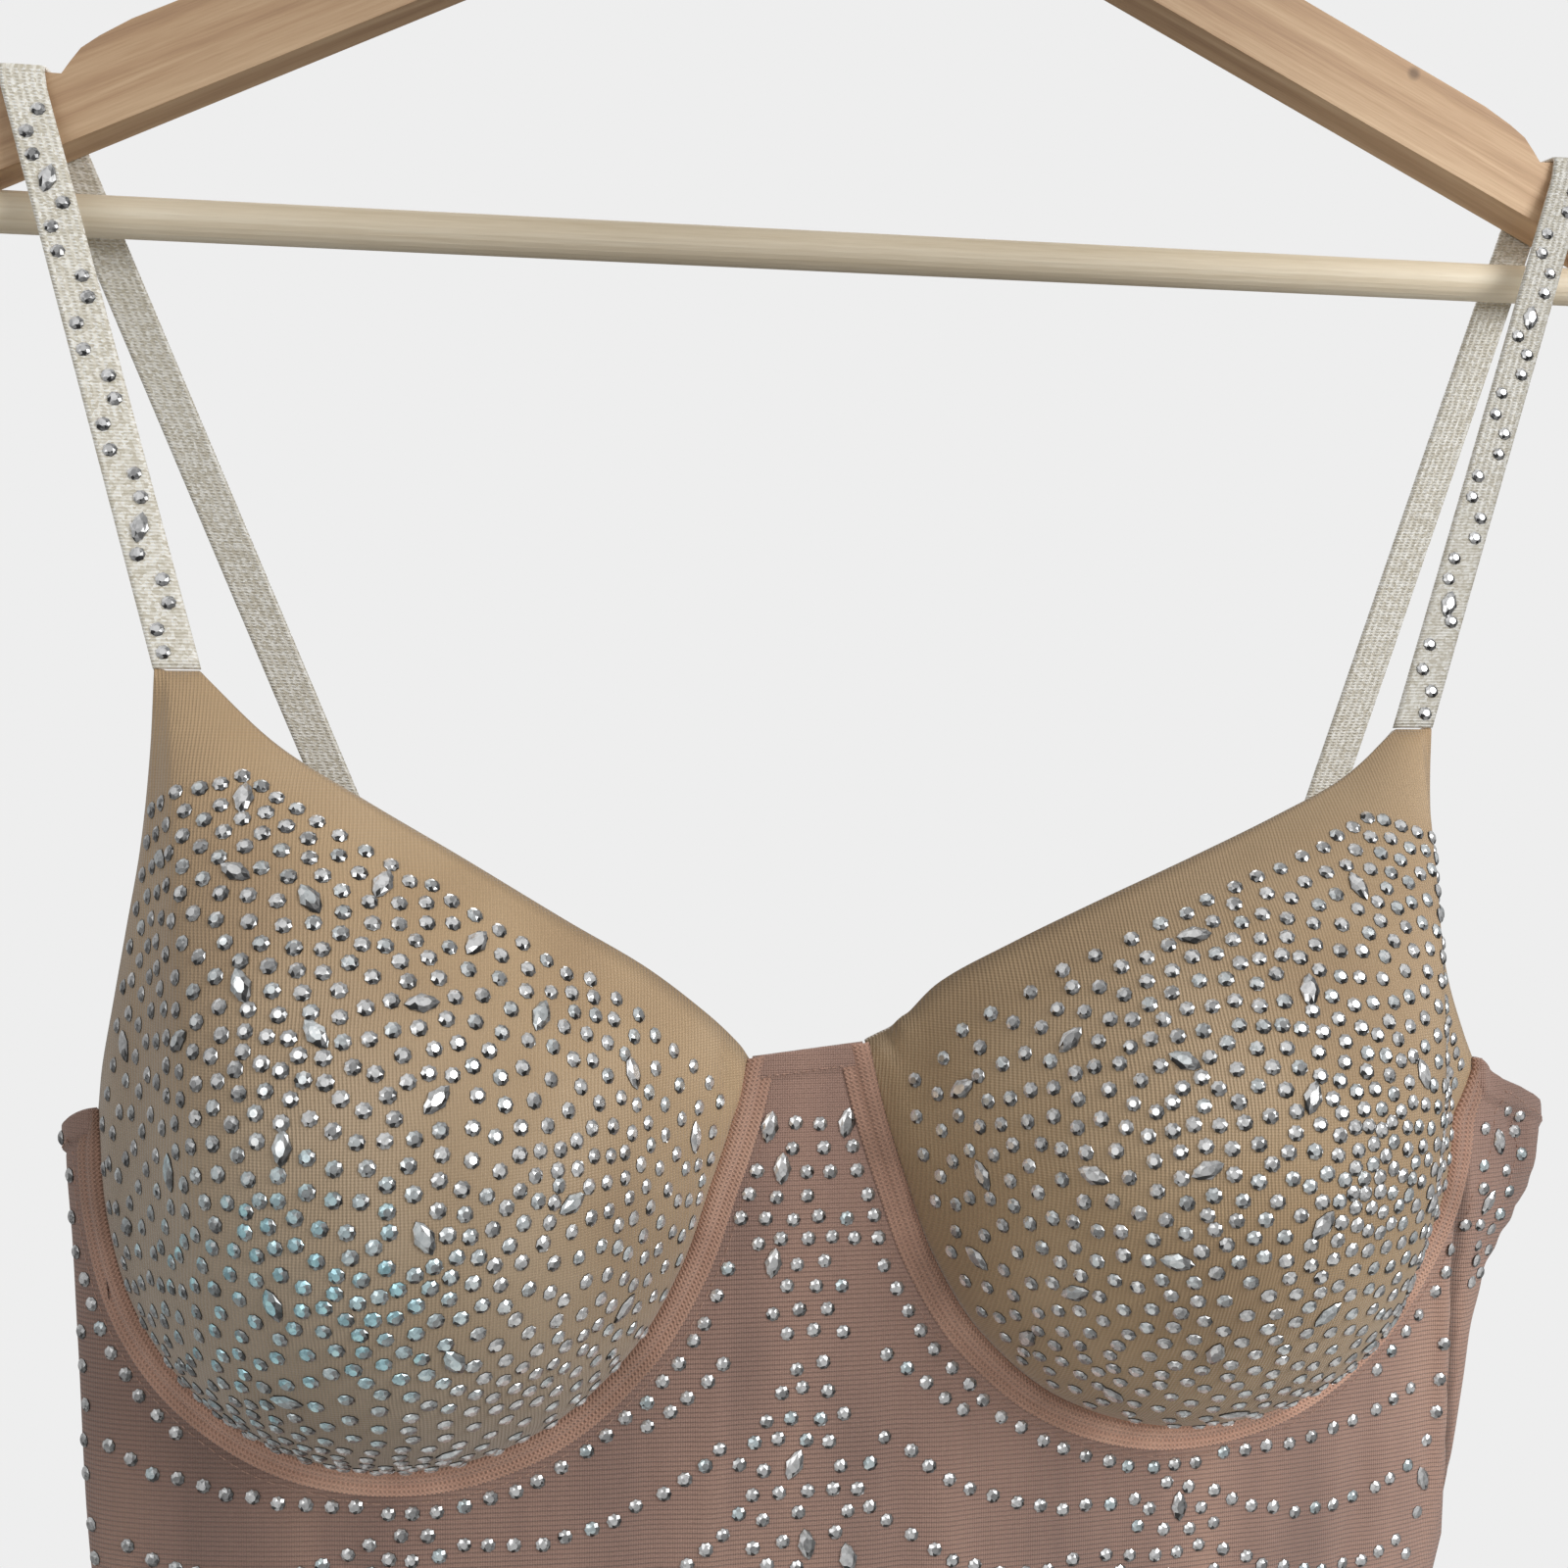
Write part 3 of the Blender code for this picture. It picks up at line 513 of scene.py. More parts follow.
def front_top(side, out):
    """Distance round and height of the front's top edge, by column from the centre."""
    if out <= GORE_STEPS:
        s, z = wire(0.0, UNDERLAP)
        s *= out / GORE_STEPS
        z += gore_slope(side, s, 0.0) + (GORE_TOP_Z - z) * (1 - out / GORE_STEPS)
    elif out <= GORE_STEPS + WIRE_STEPS:
        t = (out - GORE_STEPS) / WIRE_STEPS
        s, z = wire(t, UNDERLAP)
        z += gore_slope(side, s, t)
    else:
        t = (out - GORE_STEPS - WIRE_STEPS) / WING_STEPS
        s, z = wire(1.0, UNDERLAP)
        z += gore_slope(side, s, 1.0)
        z += (SIDES[side]["side_top"] - z) * t ** WING_TOP_ROUND
        s += (reach_round(z, "front") - s) * t
    return s, z


front_places = np.zeros((TOP_ROWS + LOW_ROWS + 1, 2 * HALF_COLS + 1, 3))
for col in range(2 * HALF_COLS + 1):
    side = "left" if col < HALF_COLS else "right"
    out = abs(col - HALF_COLS)
    top_s, top_z = front_top(side, out)
    top_share = top_s / reach_round(top_z, "front")
    for row in range(TOP_ROWS + LOW_ROWS + 1):
        if row <= TOP_ROWS:
            z = top_z + (BLEND_Z - top_z) * (row / TOP_ROWS) ** TOP_ROW_EASE
        else:
            z = BLEND_Z + (HEM_Z - BLEND_Z) * (row - TOP_ROWS) / LOW_ROWS
        even = min(1.0, (top_z - z) / (top_z - EVEN_Z)) ** EVEN_EASE
        share = top_share + (out / HALF_COLS - top_share) * even
        place = skin(side, share * reach_round(z, "front"), z)
        if out == HALF_COLS:
            place.y -= GAP / 2
        front_places[row, col] = place

# Creases of the front as it hangs: x and z of both ends, width and lift
FRONT_CREASES = (
    (-0.160, -0.456, -0.120, -0.500, 0.0045, 0.0006),
    (-0.150, -0.462, -0.095, -0.530, 0.0050, -0.0009),
    (-0.110, -0.492, -0.075, -0.560, 0.0060, 0.0008),
    (-0.052, -0.470, -0.045, -0.560, 0.0050, -0.0007),
    (-0.036, -0.452, -0.038, -0.580, 0.0040, 0.0008),
    (0.006, -0.452, 0.010, -0.570, 0.0040, -0.0008),
    (0.018, -0.470, 0.020, -0.600, 0.0050, 0.0009),
    (0.060, -0.500, 0.048, -0.610, 0.0060, -0.0007),
    (0.105, -0.495, 0.080, -0.560, 0.0050, 0.0007),
    (0.128, -0.480, 0.118, -0.560, 0.0050, -0.0010),
    (0.1505, -0.440, 0.1518, -0.540, 0.0026, 0.0018),
    (0.1545, -0.430, 0.1556, -0.545, 0.0018, -0.0034),
    (0.1715, -0.410, 0.1725, -0.420, 0.0013, -0.0020),
    (0.1725, -0.420, 0.1690, -0.432, 0.0013, -0.0020),
    (0.1690, -0.432, 0.1630, -0.447, 0.0013, -0.0020),
    (0.1772, -0.412, 0.1765, -0.428, 0.0032, 0.0014),
    (-0.100, -0.560, -0.030, -0.600, 0.0090, 0.0014),
    (0.080, -0.570, 0.010, -0.615, 0.0090, 0.0014),
    (-0.120, -0.610, -0.045, -0.640, 0.0100, -0.0014),
    (0.095, -0.625, 0.025, -0.655, 0.0100, -0.0013),
    (-0.150, -0.720, -0.085, -0.760, 0.0120, 0.0016),
    (0.125, -0.735, 0.060, -0.790, 0.0120, 0.0015),
    (-0.020, -0.780, -0.060, -0.980, 0.0140, 0.0015),
    (0.030, -0.830, 0.055, -1.020, 0.0150, 0.0014),
    (-0.110, -0.960, -0.085, -1.160, 0.0120, -0.0013),
    (0.090, -0.940, 0.070, -1.140, 0.0120, -0.0013),
)
front_lift = creases(front_places, FRONT_CREASES)

# A folded band runs along the gore's top and the two side tops, held by a line of topstitch
BAND_DROP = 0.0058
BAND_LIFT, BAND_EDGE = 0.00080, 0.00025
SEAM_SINK, SEAM_HALF = 0.00060, 0.00050
for col in range(2 * HALF_COLS + 1):
    out = abs(col - HALF_COLS)
    if out <= GORE_STEPS or out > GORE_STEPS + WIRE_STEPS:
        below = front_places[0, col, 2] - front_places[:, col, 2]
        band = 1 / (1 + np.exp(np.clip((below - BAND_DROP) / BAND_EDGE, -40, 40)))
        seam = np.exp(-((below - BAND_DROP) / SEAM_HALF) ** 2)
        front_lift[:, col] += BAND_LIFT * band - SEAM_SINK * seam

# Narrow pleats gather the right side top and die out downward
PLEAT_PITCH = 0.0042
PLEAT_LIFT = 0.00030
PLEAT_LOW_Z, PLEAT_FADE = -0.500, 0.070
PLEAT_FIRST_X, PLEAT_START = 0.1480, 0.006
pleat_fade = np.clip((front_places[..., 2] - PLEAT_LOW_Z) / PLEAT_FADE, 0.0, 1.0)
pleat_side = np.clip((front_places[..., 0] - PLEAT_FIRST_X) / PLEAT_START, 0.0, 1.0)
front_lift += PLEAT_LIFT * pleat_fade * pleat_side * np.sin(
    front_places[..., 0] * 2 * math.pi / PLEAT_PITCH)

# The mesh and its lining together, with the edge turned in
MESH_WALL = 0.0010
MESH_ROLL = 0.0004
front_cloth = shell("front_cloth", front_places, MESH_WALL, front_lift, roll=MESH_ROLL, flip=True)

BACK_COLS, BACK_ROWS = 120, 130
back_places = np.zeros((BACK_ROWS + 1, BACK_COLS + 1, 3))
for col in range(BACK_COLS + 1):
    out = abs(2 * col / BACK_COLS - 1)
    side = "left" if 2 * col < BACK_COLS else "right"
    top_z = BACK_TOP_Z + (SIDES[side]["side_top"] - BACK_TOP_Z) * out ** 2
    for row in range(BACK_ROWS + 1):
        z = top_z + (HEM_Z - top_z) * row / BACK_ROWS
        place = skin(side, out * reach_round(z, "back"), z, "back")
        if out == 1.0:
            place.y += GAP / 2
        back_places[row, col] = place

# The back's creases: x and z of both ends, width and lift
BACK_CREASES = (
    (-0.150, -0.450, -0.060, -0.500, 0.0080, 0.0012),
    (0.120, -0.455, 0.040, -0.510, 0.0080, 0.0012),
    (-0.095, -0.540, -0.015, -0.590, 0.0090, -0.0014),
    (0.075, -0.550, -0.005, -0.600, 0.0090, -0.0014),
    (-0.110, -0.600, -0.040, -0.625, 0.0090, 0.0014),
    (0.090, -0.615, 0.015, -0.640, 0.0090, 0.0015),
    (-0.080, -0.860, -0.020, -0.915, 0.0120, 0.0015),
    (0.060, -0.850, 0.000, -0.905, 0.0120, 0.0016),
    (-0.070, -0.940, -0.060, -1.140, 0.0140, -0.0013),
    (0.045, -0.930, 0.040, -1.130, 0.0140, -0.0013),
)
back_cloth = shell("back_cloth", back_places, MESH_WALL, creases(back_places, BACK_CREASES),
                   roll=MESH_ROLL)

# Stretch mesh over lining: nylon yarn, warp knitted, so fine cross ribs and a close diamond net
# show, with soft wide bands where the lining lies nearer. The real ribs and net repeat every
# 0.6 mm, and both are drawn at 1.1 mm to show.
RIB_PITCH = 0.0011
NET_PITCH = 0.0011
mesh_knit, mesh_shader = start_material(
    "stretch_mesh", "#9C7C70", 0.78, Sheen_Weight=0.25, Sheen_Roughness=0.5)
mesh_place = add_node(mesh_knit, "TexCoord")["Object"]
mesh_parts = add_node(mesh_knit, "SeparateXYZ", {"Vector": mesh_place})


def thread_rows(material, across, pitch):
    """The height of rows of threads across a direction, at a pitch in metres."""
    turn = add_node(material, "Math", {0: across, 1: 2 * math.pi / pitch}, operation="MULTIPLY")
    return add_node(material, "Math", {0: turn["Value"]}, operation="SINE")["Value"]


ribs = thread_rows(mesh_knit, mesh_parts["Z"], RIB_PITCH)
slants = []
for way in ("ADD", "SUBTRACT"):
    slant = add_node(mesh_knit, "Math", {0: mesh_parts["X"], 1: mesh_parts["Z"]}, operation=way)
    slants.append(thread_rows(mesh_knit, slant["Value"], NET_PITCH))
net = add_node(mesh_knit, "Math", {0: slants[0], 1: slants[1]}, operation="MULTIPLY")
net_height = add_node(mesh_knit, "Math", {0: net["Value"], 1: 0.45}, operation="MULTIPLY")
rib_share = add_node(mesh_knit, "MapRange",
                     {"Value": mesh_parts["Z"], "From Min": -0.44, "From Max": -0.40,
                      "To Min": 0.42, "To Max": 0.1})
knit_height = add_node(mesh_knit, "Math",
                       {0: ribs, 1: rib_share["Result"], 2: net_height["Value"]},
                       operation="MULTIPLY_ADD")["Value"]
lining_bands = add_node(mesh_knit, "Mapping", {"Vector": mesh_place, "Scale": (42, 10, 5)})
lining = add_node(mesh_knit, "TexNoise",
                  {"Vector": lining_bands["Vector"], "Scale": 1.0, "Detail": 3.0})
blotch = add_node(mesh_knit, "TexNoise", {"Vector": mesh_place, "Scale": 16.0, "Detail": 2.0})
blotch_tone = add_node(mesh_knit, "Math", {0: blotch["Fac"], 1: 0.4}, operation="MULTIPLY")
mesh_tone = add_node(mesh_knit, "Math", {0: lining["Fac"], 1: 0.6, 2: blotch_tone["Value"]},
                     operation="MULTIPLY_ADD")
mesh_base = add_node(mesh_knit, "ValToRGB", {"Fac": mesh_tone["Value"]},
                     ((0.30, "#846A60"), (0.50, "#9B7C6F"), (0.70, "#AE8C7B")))["Color"]
# The long fold beside the right side seam keeps the light out of its groove, which leans by
# FOLD_LEAN and dies out below FOLD_END_Z
FOLD_LEAN = 0.0113
FOLD_X = 0.14964
FOLD_END_Z = -0.530
fold_across = add_node(mesh_knit, "VectorMath", {0: mesh_place, 1: (1.0, 0.0, FOLD_LEAN)},
                       operation="DOT_PRODUCT")
fold_side = add_node(mesh_knit, "Math", {0: fold_across["Value"], 1: FOLD_X},
                     operation="SUBTRACT")
fold_away = add_node(mesh_knit, "Math", {0: fold_side["Value"]}, operation="ABSOLUTE")
fold_dark = add_node(mesh_knit, "MapRange",
                     {"Value": fold_away["Value"], "From Min": 0.0006, "From Max": 0.0026,
                      "To Min": 0.52, "To Max": 1.0})
finish_surface(mesh_knit, mesh_shader, mesh_base, (
    (knit_height, -0.8, 0.8, 0.72, 1.12),
    # The cloth is painted lighter to the right, painted light from the lamp on that side
    (mesh_parts["X"], -0.15, 0.15, 1.05, 1.62),
    # The right side's wing turns away from the light
    (mesh_parts["X"], 0.150, 0.170, 1.0, 0.80),
    (mesh_parts["Z"], FOLD_END_Z - 0.030, FOLD_END_Z, 1.0, fold_dark["Result"]),
), knit_height, 0.00022)

for piece, node_name, flat, area in (
        (front_cloth, "front_panel", (0.84, 1.24), 0.560),
        (back_cloth, "back_panel", (0.84, 1.22), 0.565)):
    piece.data.materials.append(mesh_knit)
    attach(piece, "root")
    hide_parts(node_name)


# Casings: knitted channel tape over the bent wires, a rounded rib between cup and front, sewn
# down along both edges.
# Channel tape: fine ribs along and across it, 1 mm apart, with a dull, slightly furry face
TAPE_PITCH = 0.0010
casing_length = sum(
    math.dist(wire(i / 200, 0.003), wire((i + 1) / 200, 0.003)) for i in range(200))
channel_tape, tape_shader = start_material("channel_tape", "#BD9480", 0.8, Sheen_Weight=0.2)
tape_cloth = add_node(channel_tape, "UVMap", uv_map="cloth")["UV"]
tape_run = add_node(channel_tape, "SeparateXYZ", {"Vector": tape_cloth})
tape_rows = thread_rows(channel_tape, tape_run["Y"], TAPE_PITCH)
tape_lines = thread_rows(channel_tape, tape_run["X"], TAPE_PITCH)
tape_weave = add_node(channel_tape, "Math", {0: tape_rows, 1: tape_lines}, operation="MULTIPLY")
tape_height = add_node(channel_tape, "Math", {0: tape_rows, 1: 0.5, 2: tape_weave["Value"]},
                       operation="MULTIPLY_ADD")["Value"]
tape_place = add_node(channel_tape, "TexCoord")["Object"]
tape_parts = add_node(channel_tape, "SeparateXYZ", {"Vector": tape_place})
tape_patch = add_node(channel_tape, "TexNoise",
                      {"Vector": tape_place, "Scale": 45.0, "Detail": 3.0})
tape_base = add_node(channel_tape, "ValToRGB", {"Fac": tape_patch["Fac"]},
                     ((0.3, "#A98471"), (0.5, "#BD9480"), (0.7, "#CCA38D")))
# The tape is painted lighter right under the cup, a painted highlight on its crown, and painted
# lighter on the right as painted light
tape_walked = add_node(channel_tape, "Math", {0: tape_run["Y"], 1: casing_length},
                       operation="DIVIDE")
tape_painted_light = add_node(channel_tape, "ValToRGB", {"Fac": tape_walked["Value"]},
                        ((0.0, "#D6D6D6"), (0.34, "#DADADA"), (0.52, "#FFFFFF"),
                         (0.72, "#F0F0F0"), (1.0, "#CACACA")))
tape_colour = add_node(channel_tape, "VectorMath",
                       {0: tape_base["Color"], 1: tape_painted_light["Color"]}, operation="MULTIPLY")
finish_surface(channel_tape, tape_shader, tape_colour["Vector"], (
    (tape_height, -1.2, 1.2, 0.76, 1.14),
    (tape_parts["X"], -0.10, 0.06, 1.38, 1.72),
), tape_height, 0.00016)

CASING_PROUD = 0.0004
CASING_CROWN = 0.0013
CASING_TUCK = 0.0010
CASING_TAPER = 0.60
CASING_TAPER_START = 0.960
# The wire fills this share of the tape's width, and the rest is the flange that is sewn down
WIRE_SHARE = 0.62
CROWN_FULLNESS = 0.7
FLANGE_LIFT = 0.10
CASING_ROWS, CASING_COLS = 110, 16
for side in SIDES:
    places = np.zeros((CASING_ROWS + 1, CASING_COLS + 1, 3))
    cloth = np.zeros((CASING_ROWS + 1, CASING_COLS + 1, 2))
    for row in range(CASING_ROWS + 1):
        t = row / CASING_ROWS
        # The tape narrows at its outer end, where it is tucked under the side's folded top
        width = CASING_WIDTH * (1 - CASING_TAPER * eased(t, CASING_TAPER_START, 1.0))
        for col in range(CASING_COLS + 1):
            c = col / CASING_COLS
            s, z = wire(t, (width + CASING_TUCK) * c - CASING_TUCK + GAP)
            z += gore_slope(side, s, t)
            if c < WIRE_SHARE:
                crown = math.sin(math.pi * c / WIRE_SHARE) ** CROWN_FULLNESS
            else:
                crown = FLANGE_LIFT * math.sin(math.pi * (c - WIRE_SHARE) / (1 - WIRE_SHARE))
            places[row, col] = skin(side, s, z, lift=CASING_PROUD + CASING_CROWN * crown)
            cloth[row, col] = (CASING_WIDTH * c, casing_length * t)
    casing = shell(f"casing_cloth_{side}", places, 0.0003, cloth=cloth, roll=0.0001,
                   flip=side == "left")
    casing.data.materials.append(channel_tape)
    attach(casing, "root")
    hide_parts(f"casing_{side}")


# Cups: moulded foam pads covered in stretch satin knit, wrapped round their edges. The moulding
# holds their form, so they are shaped directly and not inflated.
NECK_KEYS = ("x", "y", "z", "lift", "wide")
NECKLINE = [dict(zip(NECK_KEYS, row)) for row in (
    (0.0185, -0.0310, -0.3830, -0.0018, 0.0), (0.0265, -0.0370, -0.3745, -0.0028, 0.0),
    (0.0405, -0.0450, -0.3645, -0.0019, 0.0), (0.0580, -0.0510, -0.3545, -0.0012, 0.0),
    (0.0800, -0.0530, -0.3425, 0.0005, 0.0005), (0.1000, -0.0500, -0.3320, 0.0020, 0.0015),
    (0.1180, -0.0440, -0.3220, 0.0035, 0.0025), (0.1342, -0.0370, -0.3086, 0.0055, 0.0030),
)]
ARMHOLE = [dict(zip(NECK_KEYS, row)) for row in (
    (0.1570, -0.0170, -0.3885, 0.0, 0.0085), (0.1540, -0.0225, -0.3750, 0.0, 0.0045),
    (0.1505, -0.0270, -0.3590, 0.0010, 0.0030), (0.1470, -0.0310, -0.3425, 0.0022, 0.0025),
    (0.1446, -0.0345, -0.3250, 0.0040, 0.0025), (0.1434, -0.0370, -0.3086, 0.0055, 0.0028),
)]
CUP_DEPTH = 0.046
CUP_LOW_CREST = 0.64
CUP_OUTER = {"start": 0.66, "end": 0.86, "drop": 0.5}
SEAM_STEPS = 60


def cup_surface(side):
    """A function for the cup's outer surface: u from neckline to armhole, v from wire to strap."""
    sign, rise, flare = (SIDES[side][key] for key in ("sign", "rise", "flare"))
    seam = []
    for step in range(SEAM_STEPS + 1):
        t = step / SEAM_STEPS
        s, z = wire(t)
        place = skin(side, s, z + gore_slope(side, s, t))
        seam.append({"t": t, "x": place.x, "y": place.y, "z": place.z})
    lines = []
    for start, table in ((seam[0], NECKLINE), (seam[-1], ARMHOLE)):
        points = [Vector((start["x"], start["y"], start["z"]))]
        for row in table:
            out = row["x"] + row["wide"] * flare
            points.append(Vector((GOWN_X + sign * out, row["y"], row["z"] + row["lift"] * rise)))
        lines.append(with_lengths(points))
    neck, arm = lines
    gore, outer = along_line(seam, 0.0), along_line(seam, 1.0)
    tip_in, tip_out = along_line(neck, 1.0), along_line(arm, 1.0)

    def surface(u, v):
        place = (1 - v) * along_line(seam, u) + v * tip_in.lerp(tip_out, u)
        place += (1 - u) * along_line(neck, v) + u * along_line(arm, v)
        place -= (1 - v) * gore.lerp(outer, u) + v * tip_in.lerp(tip_out, u)
        across = max(0.0, math.sin(math.pi * u))
        across *= 1 - CUP_OUTER["drop"] * eased(u, CUP_OUTER["start"], CUP_OUTER["end"])
        upward = max(0.0, math.sin(math.pi * v ** CUP_LOW_CREST))
        return place + Vector((0.0, -CUP_DEPTH * across * upward, 0.0))

    return surface


# Soft dents and pinches of the knit: x and z of both ends, width and lift
CUP_CREASES = {
    "left": (
        (-0.0345, -0.3850, -0.0330, -0.3985, 0.0012, -0.0010),
        (-0.0300, -0.3870, -0.0310, -0.4010, 0.0014, 0.0006),
    ),
    "right": (
        (0.0040, -0.3780, 0.0080, -0.3830, 0.0016, 0.0016),
        (0.0025, -0.3810, 0.0060, -0.3900, 0.0012, -0.0016),
        (0.0050, -0.3850, 0.0070, -0.4050, 0.0018, 0.0006),
    ),
}
CUP_COLS, CUP_ROWS = 84, 72
CUP_ROW_EASE = 1.3
CUP_WALL = 0.0034
CUP_ROLL = 0.0006
cup_surfaces = {side: cup_surface(side) for side in SIDES}

# Stretch satin knit: polyamide loops in fine upright ribs, which give a soft satin gloss. The
# real ribs are about 0.4 mm apart and are drawn at 0.75 mm to show.
KNIT_PITCH = 0.00075
satin_knit, satin_shader = start_material(
    "satin_knit", "#BFA27E", 0.5, Sheen_Weight=0.35, Sheen_Roughness=0.4)
satin_place = add_node(satin_knit, "TexCoord")["Object"]
satin_parts = add_node(satin_knit, "SeparateXYZ", {"Vector": satin_place})
satin_cloth = add_node(satin_knit, "UVMap", uv_map="cloth")["UV"]
satin_round = add_node(satin_knit, "SeparateXYZ", {"Vector": satin_cloth})
wander = add_node(satin_knit, "TexNoise", {"Vector": satin_place, "Scale": 30.0, "Detail": 1.0})
rib_line = add_node(satin_knit, "Math", {0: wander["Fac"], 1: 0.004, 2: satin_parts["X"]},
                    operation="MULTIPLY_ADD")
wales = thread_rows(satin_knit, rib_line["Value"], KNIT_PITCH)
courses = thread_rows(satin_knit, satin_parts["Z"], KNIT_PITCH * 0.8)
satin_height = add_node(satin_knit, "Math", {0: courses, 1: 0.35, 2: wales},
                        operation="MULTIPLY_ADD")["Value"]
satin_patch = add_node(satin_knit, "TexNoise",
                       {"Vector": satin_place, "Scale": 22.0, "Detail": 2.0})
satin_base = add_node(satin_knit, "ValToRGB", {"Fac": satin_patch["Fac"]},
                      ((0.3, "#B69874"), (0.5, "#C4A680"), (0.7, "#CFB28D")))
# The knit is painted a cooler grey low and to the left, painted shade where less light falls
satin_low = add_node(satin_knit, "VectorMath", {0: satin_place, 1: (0.55, 0.0, 0.83)},
                     operation="DOT_PRODUCT")
satin_rise = add_node(satin_knit, "MapRange",
                      {"Value": satin_low["Value"], "From Min": -0.43, "From Max": -0.345})
satin_painted_shade = add_node(satin_knit, "ValToRGB", {"Fac": satin_rise["Result"]},
                      ((0.0, "#D8E2F6"), (1.0, "#FFFFFF")))
satin_colour = add_node(satin_knit, "VectorMath",
                        {0: satin_base["Color"], 1: satin_painted_shade["Color"]}, operation="MULTIPLY")
# The right cup's inner half faces away from the light
satin_turned = add_node(satin_knit, "MapRange",
                        {"Value": satin_round["X"], "From Min": 0.05, "From Max": 0.75,
                         "To Min": 0.70, "To Max": 1.06})
finish_surface(satin_knit, satin_shader, satin_colour["Vector"], (
    (satin_height, -1.35, 1.35, 0.90, 1.06),
    # The knit turns over the neckline's edge and is shaded there
    (satin_round["X"], 0.0, 0.018, 0.72, 1.0),
    (satin_parts["X"], -0.02, 0.0, 1.0, satin_turned["Result"]),
), satin_height, 0.00007)

for side in SIDES:
    places = np.zeros((CUP_ROWS + 1, CUP_COLS + 1, 3))
    cloth = np.zeros((CUP_ROWS + 1, CUP_COLS + 1, 2))
    for row in range(CUP_ROWS + 1):
        for col in range(CUP_COLS + 1):
            u, v = col / CUP_COLS, (row / CUP_ROWS) ** CUP_ROW_EASE
            places[row, col] = cup_surfaces[side](u, v)
            cloth[row, col] = (u, v)
    cup = shell(f"cup_pad_{side}", places, CUP_WALL, creases(places, CUP_CREASES[side]), cloth,
                roll=CUP_ROLL, flip=side == "left")
    cup.data.materials.append(satin_knit)
    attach(cup, "root")
    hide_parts(f"cup_{side}")


# Straps: 10 mm woven elastic with a silver thread, sewn to the cup's point, laid over the
# hanger's notch and sewn inside the back's top edge.
STRAP_WIDTH = 0.0098
STRAP_WALL = 0.0012
STRAP_CORNER = 0.0004
STRAP_DROP = 0.002
NOTCH_X = 0.1885
NOTCH_BACK_X = 0.1862
NOTCH_Z = -0.168
YOKE_THICK = 0.012
PANEL_WALL = 0.0015
BACK_FOOT_Z = -0.4350
RUN_STEPS, TURN_STEPS = 60, 6
STRAP_COLS = 8
STRAP_SWELL = 0.00015


def strap_line(side):
    """Inner face of a strap, cup to notch to back: place, outward normal and sideways slant."""
    sign = SIDES[side]["sign"]
    tip = cup_surfaces[side](0.5, 1.0)
    over = YOKE_THICK / 2 + GAP
    notch_z = NOTCH_Z + GAP
    front_foot = Vector((tip.x, tip.y + STRAP_WALL, tip.z + GAP))
    front_edge = Vector((sign * NOTCH_X, -over, NOTCH_Z - STRAP_DROP))
    run = front_edge - front_foot
    front_turn = math.atan2(run.z, run.y)
    inside = -(PANEL_WALL + 2 * GAP + STRAP_WALL)
    foot_s = SIDES[side]["back_foot"]
    side_top = SIDES[side]["side_top"]
    entry = skin(side, foot_s, side_top, "back", inside)
    foot = skin(side, foot_s - 0.008, BACK_FOOT_Z, "back", inside)
    beside = skin(side, foot_s + STRAP_WIDTH / 2, side_top, "back", inside)
    slant = (beside.y - entry.y) / (beside.x - entry.x)
    back_edge = Vector((sign * NOTCH_BACK_X, over, NOTCH_Z - STRAP_DROP))
    fall = entry - back_edge
    back_turn = math.atan2(fall.z, fall.y)

    def normal(turn):
        return Vector((0.0, -math.sin(turn), math.cos(turn)))

    stations = []
    for step in range(RUN_STEPS):
        place = front_foot.lerp(front_edge, step / RUN_STEPS)
        stations.append((place, normal(front_turn), 0.0))
    for x, y, first, last in ((sign * NOTCH_X, -(over - STRAP_CORNER), front_turn, 0.0),
                              (sign * NOTCH_BACK_X, over - STRAP_CORNER, 0.0, back_turn)):
        for step in range(TURN_STEPS + 1):
            turn = first + (last - first) * step / TURN_STEPS
            centre = Vector((x, y, notch_z - STRAP_CORNER))
            stations.append((centre + normal(turn) * STRAP_CORNER, normal(turn), 0.0))
    for step in range(1, RUN_STEPS + 1):
        share = step / RUN_STEPS
        stations.append((back_edge.lerp(entry, share), normal(back_turn), slant * share))
    for step in range(1, TURN_STEPS + 1):
        stations.append((entry.lerp(foot, step / TURN_STEPS), normal(-math.pi / 2), slant))
    return stations


# Woven elastic: grosgrain cords across the strap every 0.8 mm, crossed by warp threads in pairs,
# with a silver thread that glitters between them
CORD_PITCH = 0.00080
PAIR_PITCH = 0.00163
silver_elastic, elastic_shader = start_material(
    "silver_elastic", "#CFCBBB", 0.38, Sheen_Weight=0.2, Specular_IOR_Level=0.7)
elastic_cloth = add_node(silver_elastic, "UVMap", uv_map="cloth")["UV"]
elastic_parts = add_node(silver_elastic, "SeparateXYZ", {"Vector": elastic_cloth})
cords = thread_rows(silver_elastic, elastic_parts["Y"], CORD_PITCH)
pairs = thread_rows(silver_elastic, elastic_parts["X"], PAIR_PITCH)
checker = add_node(silver_elastic, "Math", {0: cords, 1: pairs}, operation="MULTIPLY")
